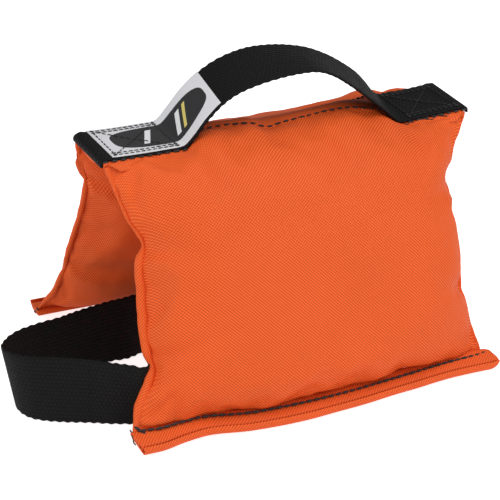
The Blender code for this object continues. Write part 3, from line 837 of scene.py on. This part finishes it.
def stitch_rows(name, lines, pitch, length, radius, seed):
    """Stitches along several lines of points, as one plain mesh."""
    mesh = bpy.data.meshes.new(name)
    points, edges = [], []
    for line in lines:
        first = len(points)
        points += [tuple(p) for p in line]
        edges += [(first + i, first + i + 1) for i in range(len(line) - 1)]
    mesh.from_pydata(points, edges, [])
    obj = bpy.data.objects.new(name, mesh)
    bpy.context.scene.collection.objects.link(obj)
    rows = obj.modifiers.new("Stitches", "NODES")
    rows.node_group = STITCH_TREE
    ids = {s.name: s.identifier for s in STITCH_TREE.interface.items_tree if s.in_out == "INPUT"}
    rows[ids["Pitch"]] = pitch
    rows[ids["Stitch Length"]] = length
    rows[ids["Thread Radius"]] = radius
    rows[ids["Seed"]] = seed
    rows[ids["Thread"]] = THREAD_BLACK
    return made_plain(obj)


# ---------------------------------------------------------------- pouches
def bend_with(obj, side):
    """Bakes the piece's placement into its mesh. It works out two points near the top of the pouch but does
    not use them, so nothing bends or turns.
    """
    start = pouch_point(side, 0.0, 0.0, 0.002)
    end = pouch_point(side, 0.0, 0.0, 0.028)
    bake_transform(obj)


# Each side seam's radius, above where it is pinched and below.
ROLL_SIZES = {
    (NEAR, -1): (0.0013, 0.0026), (NEAR, 1): (0.0007, 0.0013),
    (FAR, -1): (0.0012, 0.0017), (FAR, 1): (0.0010, 0.0018),
}


def make_seam_roll(side, end):
    """The turned side seam: a soft roll that thins out where the filling pinches it."""
    share = np.linspace(0.012, 1.0, 170)
    reach = seam_reach(side, end, share * SEAM_END[1])
    out, down = seam_section(side, end * reach, share)
    upper, lower = (at for at, _ in PINCHES[side, end])
    thin, thick = ROLL_SIZES[side, end]
    radius = thin + (thick - thin) * ease((down - upper) / 0.012)
    radius *= 1 - 0.38 * hump(down, lower, 0.0040) - 0.30 * hump(down, upper, 0.0030)
    radius *= 1 - 0.45 * ease((down - 0.128) / 0.012)
    line = np.stack([reach, down], axis=1)
    ahead = np.gradient(line, axis=0)
    ahead /= np.linalg.norm(ahead, axis=1, keepdims=True)
    turns = np.linspace(0, 2 * np.pi, 16, endpoint=False)
    rings = []
    for (w, d), (step_w, step_d), o, r in zip(line, ahead, out, radius):
        off = r * 0.45 + r * np.cos(turns)
        x = end * (w + off * step_d)
        rings.append(pouch_point(side, x, o + 0.92 * r * np.sin(turns), d - off * step_w))
    where = {-1: "left", 1: "right"}[end]
    along = running_length(line)
    name = f"{SIDE_NAMES[side]}_{where}_seam_roll"
    obj = swept(name, rings, along, turns * thick, NYLON)
    ruffle(obj, 0.0005, 0.007, 5 + side + 2 * end)
    bend_with(obj, side)
    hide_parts(f"{SIDE_NAMES[side]}_{where}_seam_welt")


# The hem's flat roll, as (out, down) at its two edges, and its ends along the bag.
HEM_ROOT = np.array([0.0036, 0.1414])
HEM_TIP = np.array([0.0124, 0.1487])
HEM_ROOT_RADIUS, HEM_TIP_RADIUS = 0.0021, 0.0038
HEM_ENDS = {NEAR: (-0.1165, 0.1126), FAR: (-0.1146, 0.1140)}
HEM_CLOTH = 0.0007
HEM_TURNS = 2.35
FAR_HEM_IN = 0.0040  # how much further in the far hem starts


def hem_section(side):
    """The roll's spiral as (out, down): flat, fatter at its outer edge, with the cloth's end inside."""
    turns = HEM_TURNS
    root = HEM_ROOT - np.array([FAR_HEM_IN if side == FAR else 0.0, 0.0])
    angle = np.linspace(0, turns * 2 * np.pi, int(turns * 30)) + np.radians(115)
    layer = (angle - angle[0]) / (2 * np.pi)
    ahead = (HEM_TIP - root) / np.linalg.norm(HEM_TIP - root)
    up = np.array([ahead[1], -ahead[0]])
    lean = 0.5 - 0.5 * np.cos(angle)
    lean = ease((lean - 0.25) / 0.5)
    radius = HEM_ROOT_RADIUS + (HEM_TIP_RADIUS - HEM_ROOT_RADIUS) * lean
    radius = radius * (1 - layer / (turns + 0.55)) - HEM_CLOTH / 2
    inset = 0.16 * layer
    middle = root + np.outer(inset + (1 - 2 * inset) * lean, HEM_TIP - root)
    return middle + np.outer(-radius * np.cos(angle), ahead) + np.outer(radius * np.sin(angle), up)


def make_hem_roll(side):
    """The pouch's mouth, rolled up flat and stitched: the cloth's layers show at its ends."""
    section = hem_section(side)
    core = (HEM_ROOT + HEM_TIP) / 2
    first, last = HEM_ENDS[side]
    stations = np.linspace(first, last, 110)
    steps = running_length(section)
    rows = []
    for x in stations:
        near_end = 1 - math.sqrt(max(0.0, 1 - max(0.0, 1 - (last - x) / 0.0080) ** 2))
        size = 1 - 0.72 * near_end + 0.04 * noise.noise(Vector((x * 45, side, 0.3)))
        centre = core + (HEM_TIP - core) * 0.7 * near_end
        spots = centre + (section - centre) * size
        skew = 0.0016 * (spots[:, 1] - core[1]) / 0.006 * (1 - ease((x - first) / 0.02))
        rows.append(pouch_point(side, x + skew, spots[:, 0], spots[:, 1]))
    rows = np.array(rows)
    rows[..., 2] += np.clip(0.0004 + HEM_CLOTH / 2 - rows[..., 2].min(axis=1, keepdims=True), 0, None)
    count, size = rows.shape[:2]
    faces, uvs = [], []
    for i in range(count - 1):
        for k in range(size - 1):
            ring = [(i, k), (i + 1, k), (i + 1, k + 1), (i, k + 1)]
            faces.append([a * size + b for a, b in ring])
            uvs.append([(stations[a] + 0.15, steps[b]) for a, b in ring])
    obj = mesh_object(f"{SIDE_NAMES[side]}_hem_roll", rows.reshape(-1, 3), faces, uvs, NYLON)
    wall = obj.modifiers.new("Wall", "SOLIDIFY")
    wall.thickness = HEM_CLOTH
    wall.offset = 0
    made_plain(obj)
    obj.data.shade_smooth()
    obj.data.set_sharp_from_angle(angle=math.radians(50))
    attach(obj, BODIES[side])
    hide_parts(f"{SIDE_NAMES[side]}_rolled_hem")


# The tack over the left end of the roll, as (out, down).
HEM_TACK = (
    (0.0022, 0.1405), (0.0042, 0.1416), (0.0030, 0.1432), (0.0050, 0.1442), (0.0040, 0.1458),
    (0.0060, 0.1468),
)


def make_hem_stitches(side):
    """The row in the crease above the hem, with the knot and the tack at its left end."""
    name = SIDE_NAMES[side]
    first, last = HEM_ENDS[side]
    x = np.linspace(first + 0.005, last - 0.007, 160)
    full = fullness(side, np.clip(np.abs(x) / 0.108, 0, 1), 1) ** 1.2
    out = 0.0062 + 0.0036 * full
    down = 0.1414 + 0.0012 * full + 0.0010 * x / HALF
    row = pouch_point(side, x, out, down)
    knot_x = np.array([first + 0.0030, first + 0.0050])
    knot = pouch_point(side, knot_x, np.array([0.0048, 0.0062]), np.array([0.1395, 0.1414]))
    obj = stitch_rows(f"{name}_hem_stitches", [row, knot], 0.0046, 0.0050, 0.00078, 11)
    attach(obj, BODIES[side])
    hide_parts(f"{name}_hem_stitching")
    out, down = (np.array([p[k] for p in HEM_TACK]) for k in (0, 1))
    tack = pouch_point(side, first - 0.0002, out, down)
    extra = stitch_rows(f"{name}_hem_tacks", [tack], 0.0016, 0.0027, 0.00042, 13)
    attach(extra, BODIES[side])


def make_pouch(side):
    cover, held = make_cover(side, NYLON)
    inflate(cover, held, FILL_MOST)
    subdivided(cover)
    ruffle(cover, 0.0009, 0.022, 3 + side)
    ruffle(cover, 0.00035, 0.007, 8 + side)
    bend_with(cover, side)
    name = SIDE_NAMES[side]
    nodes = [f"{name}_{part}" for part in ("outer_panel", "inner_panel", "poly_liner", "sand_fill")]
    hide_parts(*nodes)
    for end in (-1, 1):
        make_seam_roll(side, end)
    make_hem_roll(side)
    make_hem_stitches(side)


# ---------------------------------------------------------------- bridge
def fold_point(side, x):
    out, down = fold_line(side, x)
    return pouch_point(side, x, out, down)


CROWN = 0.0034  # how far the bridge's cloth humps up under the handle


def make_bridge():
    """The cloth between the two rows of fold stitches, its edges turned down inside the pouches."""
    x = np.linspace(-HALF + 0.0008, HALF - 0.0008, 150)
    share = np.linspace(-0.15, 1.15, 17)
    near, far = fold_point(NEAR, x), fold_point(FAR, x)
    middle = ease((0.066 - np.abs(x)) / 0.020)
    layers = []
    for lift in (1, -1):
        rows = []
        for s in share:
            inside = min(max(s, 0.0), 1.0)
            past = s - inside
            spot = near * (1 - inside) + far * inside
            crown = 4 * inside * (1 - inside)
            rise = crown * CROWN * middle + lift * CLOTH * (0.35 + 0.65 * crown) - 0.022 * abs(past)
            spot = spot + np.outer(rise, [0, 0, 1]) + np.array([0, 0.030 * past, 0])
            spot[:, 0] = BAG_X + x * (1 - 0.40 * abs(past))
            rows.append(spot)
        layers.append(np.stack(rows, axis=1))
    count, size = len(x), len(share)
    ring = np.concatenate([layers[0], layers[1][:, ::-1]], axis=1)
    around = np.concatenate([share, 2 - share[::-1] + 0.05]) * 2 * FOLD_Y
    obj = swept("bridge_cloth", ring, x + 0.2, around, NYLON)
    ruffle(obj, 0.0005, 0.012, 21)
    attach(obj, "bridge")
    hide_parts("bridge_outer_panel", "bridge_lining")
    for side in (NEAR, FAR):
        line = fold_point(side, np.linspace(-HALF + 0.001, HALF - 0.001, 200))
        line = line + np.array([0, -side * 0.0002, 0.0008])
        name = SIDE_NAMES[side]
        rows = stitch_rows(f"{name}_fold_stitches", [line], 0.0050, 0.0038, 0.00058, 17)
        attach(rows, "bridge")
        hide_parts(f"{name}_fold_stitching")


def make_end_roll(end):
    """The turned end of the bridge's cloth, running from one pouch's side seam to the other's."""
    ends = [fold_point(side, np.array([end * (HALF - 0.0012)]))[0] for side in (NEAR, FAR)]
    t = np.linspace(0.0, 1.0, 40)
    line = np.array([ends[0] * (1 - s) + ends[1] * s for s in t])
    line[:, 2] -= 0.0012 + 0.0030 * hump(t, 0.5, 0.30)
    turns = np.linspace(0, 2 * np.pi, 14, endpoint=False)
    rings = []
    for spot in line:
        wide, high = 0.0011 * np.cos(turns), (0.0019 if end < 0 else 0.0012) * np.sin(turns)
        rings.append(spot + np.stack([wide, 0 * wide, high], axis=1))
    name = {-1: "left_end_roll", 1: "right_end_roll"}[end]
    obj = swept(name, rings, line[:, 1], turns * 0.0018, NYLON)
    ruffle(obj, 0.0004, 0.006, 40 + end)
    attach(obj, "bridge")


# ---------------------------------------------------------------- webbing
def webbing_section(width, thickness, wide_steps):
    """(across, off, map) around a flat strap with rounded edges."""
    half, flat = thickness / 2, width / 2 - thickness / 2
    points = [(a, half) for a in np.linspace(-flat, flat, wide_steps)]
    points += [(flat + half * math.sin(t), half * math.cos(t)) for t in np.radians((35, 90, 145))]
    points += [(a, -half) for a in np.linspace(flat, -flat, wide_steps)]
    points += [(-flat - half * math.sin(t), -half * math.cos(t)) for t in np.radians((35, 90, 145))]
    points = np.array(points)
    closed = np.r_[points, points[:1]]
    around = running_length(closed)[:-1]
    return points, around - flat


BUMP_PITCH = 0.0047  # from one turn of the weft to the next along a selvedge


def ribbon_rings(first, second, width, thickness, lift=0.0, shift=0.0, knurl=0.00032, wide_steps=11):
    """Cross sections of a strap between two edge lines. Its selvedges have the bumps of the weft's turns."""
    first, second = np.asarray(first, float), np.asarray(second, float)
    middle, along = resampled((first + second) / 2, 0.0007 if knurl else 0.0010)
    raw = running_length((first + second) / 2)
    across = np.stack([np.interp(along, raw, (second - first)[:, k]) for k in range(3)], axis=1)
    across /= np.linalg.norm(across, axis=1, keepdims=True)
    ahead = np.gradient(middle, axis=0)
    ahead /= np.linalg.norm(ahead, axis=1, keepdims=True)
    off = np.cross(ahead, across)
    off /= np.linalg.norm(off, axis=1, keepdims=True)
    section, around = webbing_section(width, thickness, wide_steps)
    edge = np.abs(section[:, 0]) > width / 2 - thickness * 0.55
    rings = []
    for at, spot, a, o in zip(along, middle, across, off):
        bumps = knurl * np.sin(2 * np.pi * at / BUMP_PITCH + np.where(section[:, 0] > 0, 0.0, 1.9))
        wide = section[:, 0] + np.sign(section[:, 0]) * bumps * edge + shift
        rings.append(spot + np.outer(wide, a) + np.outer(section[:, 1] + lift, o))
    return np.array(rings), along, around, middle


def make_ribbon(name, first, second, width, thickness, material, **shape):
    rings, along, around, _ = ribbon_rings(first, second, width, thickness, **shape)
    return swept(name, rings, along, around, material)


# The handle's two edges, seen from the side: (x, z above the sewn ends' middle).
HANDLE_LEFT_END = [
    (-0.1132, -0.0028), (-0.11335, -0.0016), (-0.1124, 0.0002), (-0.1096, 0.0008), (-0.1040, 0.0003),
    (-0.0900, 0.0000), (-0.0740, 0.0001),
]
HANDLE_NEAR = [
    (-0.0670, 0.0004), (-0.0638, 0.0018), (-0.0595, 0.0063), (-0.0530, 0.0144), (-0.0455, 0.0216),
    (-0.0370, 0.0267), (-0.0270, 0.0299), (-0.0140, 0.0325), (0.0000, 0.0339), (0.0125, 0.0335),
    (0.0230, 0.0296), (0.0330, 0.0231), (0.0420, 0.0164), (0.0510, 0.0092), (0.0570, 0.0045),
    (0.0615, 0.0006), (0.0655, -0.0026), (0.0696, -0.0050), (0.0800, -0.0041), (0.0900, -0.0034),
    (0.1040, -0.0024), (0.1108, -0.0020), (0.1136, -0.0026), (0.1145, -0.0038), (0.1144, -0.0052),
]
HANDLE_FAR = [
    (-0.0670, 0.0004), (-0.0632, 0.0028), (-0.0580, 0.0090), (-0.0505, 0.0180), (-0.0420, 0.0254),
    (-0.0320, 0.0314), (-0.0210, 0.0352), (-0.0100, 0.0368), (0.0030, 0.0364), (0.0150, 0.0346),
    (0.0270, 0.0315), (0.0400, 0.0258), (0.0500, 0.0198), (0.0590, 0.0134), (0.0655, 0.0070),
    (0.0700, 0.0016), (0.0735, -0.0018), (0.0780, -0.0036), (0.0840, -0.0034), (0.0900, -0.0036),
    (0.1040, -0.0027), (0.1112, -0.0018), (0.1142, -0.0020), (0.1151, -0.0032), (0.1150, -0.0046),
]


def handle_edges():
    """The middle of the webbing's thickness along its near and its far edge."""
    edges = []
    for part, y in ((HANDLE_NEAR, -WEBBING / 2), (HANDLE_FAR, WEBBING / 2)):
        knots = [*HANDLE_LEFT_END, *part]
        edges.append(spline_through([(BAG_X + x, y, PATCH_MIDDLE + z) for x, z in knots], 10))
    return edges


def bend_with_handle(obj):
    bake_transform(obj)


LABEL_START = 0.0086  # along the webbing from its turned-down left end
LABEL_WIDE = 0.0362
LABEL_SHIFT = 0.0003
LABEL_THICK = 0.0004


def make_handle():
    near, far = handle_edges()
    webbing = make_ribbon("handle_webbing", near, far, WEBBING, WEBBING_THICK, WEBBING_BLACK)
    bend_with_handle(webbing)
    nodes = [f"handle_{part}" for part in ("left_end", "left_root", "arch", "right_root", "right_end")]
    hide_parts(*nodes)
    middle = (near + far) / 2
    raw = running_length(middle)
    keep = (raw > LABEL_START) & (raw < LABEL_START + LABEL_LENGTH)
    lift = WEBBING_THICK / 2 + LABEL_THICK
    label = make_ribbon(
        "woven_label_cloth", near[keep], far[keep], LABEL_WIDE, LABEL_THICK, LABEL_CLOTH,
        lift=lift, shift=LABEL_SHIFT, knurl=0.0, wide_steps=15,
    )
    bend_with_handle(label)
    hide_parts("woven_label", "woven_label_upper")


def webbing_top(x, y):
    """The height of the handle webbing's upper face at a spot of its sewn ends."""
    near, far = handle_edges()
    heights = [np.interp(BAG_X + x, edge[:, 0], edge[:, 2]) for edge in (near, far)]
    share = y / WEBBING + 0.5
    return heights[0] * (1 - share) + heights[1] * share + WEBBING_THICK / 2


def box_lines(low_x, high_x, half_wide, lift):
    """A sewn box with its diagonals and a second row along each long side."""
    corners = [(low_x, -half_wide), (high_x, -half_wide), (high_x, half_wide), (low_x, half_wide)]
    lines = [(corners[i], corners[(i + 1) % 4]) for i in range(4)]
    lines += [(corners[0], corners[2]), (corners[1], corners[3])]
    inset = 0.0022
    lines += [((low_x, s * (half_wide - inset)), (high_x, s * (half_wide - inset))) for s in (-1, 1)]
    found = []
    for (ax, ay), (bx, by) in lines:
        spots = [(ax + (bx - ax) * t, ay + (by - ay) * t) for t in np.linspace(0, 1, 12)]
        found.append(np.array([(BAG_X + x, y, webbing_top(x, y) + lift) for x, y in spots]))
    return found


def front_zigzag(low_x, high_x):
    """The row that catches the webbing's front edge to the cloth below it."""
    points = []
    for i, x in enumerate(np.arange(low_x, high_x, 0.0016)):
        aside = 0.0004 if i % 2 else 0.0016
        height = webbing_top(x, -WEBBING / 2) - 0.0010 - 0.9 * aside
        points.append((BAG_X + x, -WEBBING / 2 - aside, height))
    return np.array(points)


BOX_HALF_WIDE = 0.0158
# Each box: its two ends along the bag, how far it stands above the webbing, and its seed.
BOXES = {"left": (-0.1045, -0.0690, 0.0008, 31), "right": (0.0770, 0.1085, 0.0002, 37)}


def make_box_stitches():
    for name, (low_x, high_x, lift, seed) in BOXES.items():
        lines = box_lines(low_x, high_x, BOX_HALF_WIDE, lift)
        if name == "right":
            lines.append(front_zigzag(0.0700, 0.1000))
        obj = stitch_rows(f"{name}_box_stitches", lines, 0.0032, 0.0028, 0.00036, seed)
        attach(obj, "bridge")
        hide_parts(f"{name}_box_stitching")


# ---------------------------------------------------------------- side strap
STRAP_LOW = 0.0006
LOOP_X = -HALF - 0.0155
# The strap's two edges from the near pouch round to the far one, as (x, y) from the bag's middle.
STRAP_TOP = (
    (-0.1030, -0.0585), (-0.1110, -0.0535), (-0.1195, -0.0475), (-0.1280, -0.0410), (-0.1400, -0.0335),
    (-0.1510, -0.0282), (-0.1585, -0.0240), (-0.1640, -0.0175), (-0.1660, -0.0100), (-0.1605, -0.0028),
    (-0.1528, 0.0020), (-0.1450, 0.0042), (-0.1363, 0.0057), (-0.1258, 0.0069), (-0.1149, 0.0096),
    (-0.0942, 0.0133), (-0.0780, 0.0150),
)
STRAP_BOTTOM = (
    (-0.1015, -0.0570), (-0.1088, -0.0535), (-0.1190, -0.0490), (-0.1285, -0.0440), (-0.1410, -0.0383),
    (-0.1503, -0.0328), (-0.1560, -0.0275), (-0.1590, -0.0205), (-0.1588, -0.0130), (-0.1540, -0.0050),
    (-0.1490, -0.0010), (-0.1430, 0.0025), (-0.1360, 0.0050), (-0.1280, 0.0070), (-0.1150, 0.0085),
    (-0.0939, 0.0098),
    (-0.0760, 0.0110),
)


def sewn_rows(side, start, end, count):
    """The strap's stretch that is sewn to a pouch's inner face, as its lower and upper edge."""
    x = np.linspace(start, end, count)
    found = []
    for down in (FACE - 0.002, FACE - 0.002 - WEBBING):
        share = down / FACE
        points = []
        for value in x:
            reach = seam_reach(side, np.sign(value) or 1, down)
            spot, _, _ = cover_point(side, np.array([value / reach]), np.array([share]), -1)
            points.append(spot[0])
        found.append(np.array(points))
    out_way, _ = directions(side)
    return [line - 0.0016 * out_way for line in found]


def strap_edges():
    """The whole strap's lower and upper edge, sewn end to sewn end."""
    near_sewn = [line[::-1] for line in sewn_rows(NEAR, -HALF + 0.0200, -HALF + 0.0460, 5)]
    far_sewn = sewn_rows(FAR, -HALF + 0.1350, -HALF + 0.1610, 5)
    edges = []
    for flat, height, first, last in (
        (STRAP_BOTTOM, STRAP_LOW, near_sewn[0], far_sewn[0]),
        (STRAP_TOP, STRAP_LOW + WEBBING, near_sewn[1], far_sewn[1]),
    ):
        open_part = [np.array((BAG_X + x, y, height)) for x, y in flat]
        goal = np.array(last[0])
        between = open_part[-1] * 0.5 + goal * 0.5 + np.array((0, -0.004, 0))
        bend = goal + np.array((-0.014, -0.0035, 0))
        edges.append(spline_through([*first, *open_part, between, bend, *last], 9))
    return edges


def make_strap():
    low, high = strap_edges()
    rings, along, around, middle = ribbon_rings(low, high, WEBBING, WEBBING_THICK)
    at = BAG_X + LOOP_X
    apex = int(np.argmin(middle[:, 0]))
    near_cut = int(np.argmin(np.abs(middle[:apex, 0] - at)))
    far_cut = apex + int(np.argmin(np.abs(middle[apex:, 0] - at)))
    parts = (
        ("side_strap_near_webbing", 0, near_cut + 1, ("side_strap_near_leg", "side_strap_near_end")),
        ("side_strap_loop_webbing", near_cut, far_cut + 1, ("side_strap_loop",)),
        ("side_strap_far_webbing", far_cut, len(along), ("side_strap_far_leg", "side_strap_far_end")),
    )
    made = []
    for name, first, last, nodes in parts:
        obj = swept(name, rings[first:last], along[first:last], around, WEBBING_BLACK)
        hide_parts(*nodes)
        made.append(obj)
    near_leg, loop, far_leg = made
    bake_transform(near_leg)
    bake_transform(loop)
    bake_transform(far_leg)


# ---------------------------------------------------------------- stage, lights and camera
FLOOR_HALF = 6.0
FLOOR_GLOW, FLOOR_GLOW_SEEN = 0.20, 0.60  # the paper's own light, and what it gains where it is looked at


def make_stage():
    mesh = bpy.data.meshes.new("studio_floor")
    size = FLOOR_HALF
    corners = [(-size, -size, 0), (size, -size, 0), (size, size, 0), (-size, size, 0)]
    mesh.from_pydata(corners, [], [(0, 1, 2, 3)])
    floor = bpy.data.objects.new("studio_floor", mesh)
    bpy.context.scene.collection.objects.link(floor)
    material = bpy.data.materials.new("white_paper")
    material.use_nodes = True
    shader = material.node_tree.nodes["Principled BSDF"]
    shader.inputs["Base Color"].default_value = (0.92, 0.92, 0.92, 1)
    shader.inputs["Roughness"].default_value = 0.9
    shader.inputs["Specular IOR Level"].default_value = 0.1
    shader.inputs["Emission Color"].default_value = (1, 1, 1, 1)
    n = Nodes(material.node_tree)
    seen = n.add("ShaderNodeLightPath").outputs["Is Camera Ray"]
    n.join(n.math("MULTIPLY_ADD", seen, FLOOR_GLOW_SEEN, FLOOR_GLOW), shader.inputs["Emission Strength"])
    mesh.materials.append(material)


def add_light(name, place, target, size, power):
    data = bpy.data.lights.new(name, "AREA")
    data.shape = "DISK"
    data.size = size
    data.energy = power
    light = bpy.data.objects.new(name, data)
    bpy.context.scene.collection.objects.link(light)
    light.location = place
    way = Vector(place) - Vector(target)
    light.rotation_euler = way.to_track_quat("Z", "Y").to_euler()


def make_lights():
    centre = (BAG_X, 0, 0.08)
    add_light("overhead_softbox", (BAG_X + 0.25, -0.45, 1.35), centre, 1.1, 9.0)
    add_light("front_fill", (BAG_X + 0.75, -1.25, 0.65), centre, 1.0, 5.2)
    add_light("left_rim", (BAG_X - 1.10, -0.15, 0.55), centre, 0.8, 4.4)
    world = bpy.data.worlds.new("white_studio")
    world.use_nodes = True
    world.node_tree.nodes["Background"].inputs["Color"].default_value = (1, 1, 1, 1)
    world.node_tree.nodes["Background"].inputs["Strength"].default_value = 0.30
    bpy.context.scene.world = world


CAMERA_TURN = (-29.229, 27.553, 3.547)  # yaw, pitch and roll in degrees
CAMERA_PLACE = (BAG_X - 0.4279, -0.7428, 0.5059)
CAMERA_LENS = 120.8


def make_camera():
    yaw, pitch, roll = (math.radians(turn) for turn in CAMERA_TURN)
    back = Vector((math.sin(yaw) * math.cos(pitch), -math.cos(yaw) * math.cos(pitch), math.sin(pitch)))
    level = (-back).cross(Vector((0, 0, 1))).normalized()
    above = back.cross(level)
    right = math.cos(roll) * level + math.sin(roll) * above
    up = -math.sin(roll) * level + math.cos(roll) * above
    data = bpy.data.cameras.new("camera")
    data.sensor_width = 36
    data.lens = CAMERA_LENS
    data.clip_start, data.clip_end = 0.05, 20
    camera = bpy.data.objects.new("camera", data)
    bpy.context.scene.collection.objects.link(camera)
    turn = Matrix((right, up, back)).transposed().to_4x4()
    camera.matrix_world = Matrix.Translation(CAMERA_PLACE) @ turn
    bpy.context.scene.camera = camera


make_camera()
make_stage()
make_lights()
for side in (NEAR, FAR):
    make_pouch(side)
make_bridge()
for end in (-1, 1):
    make_end_roll(end)
make_handle()
make_box_stitches()
make_strap()
bpy.context.scene.view_settings.view_transform = "Standard"
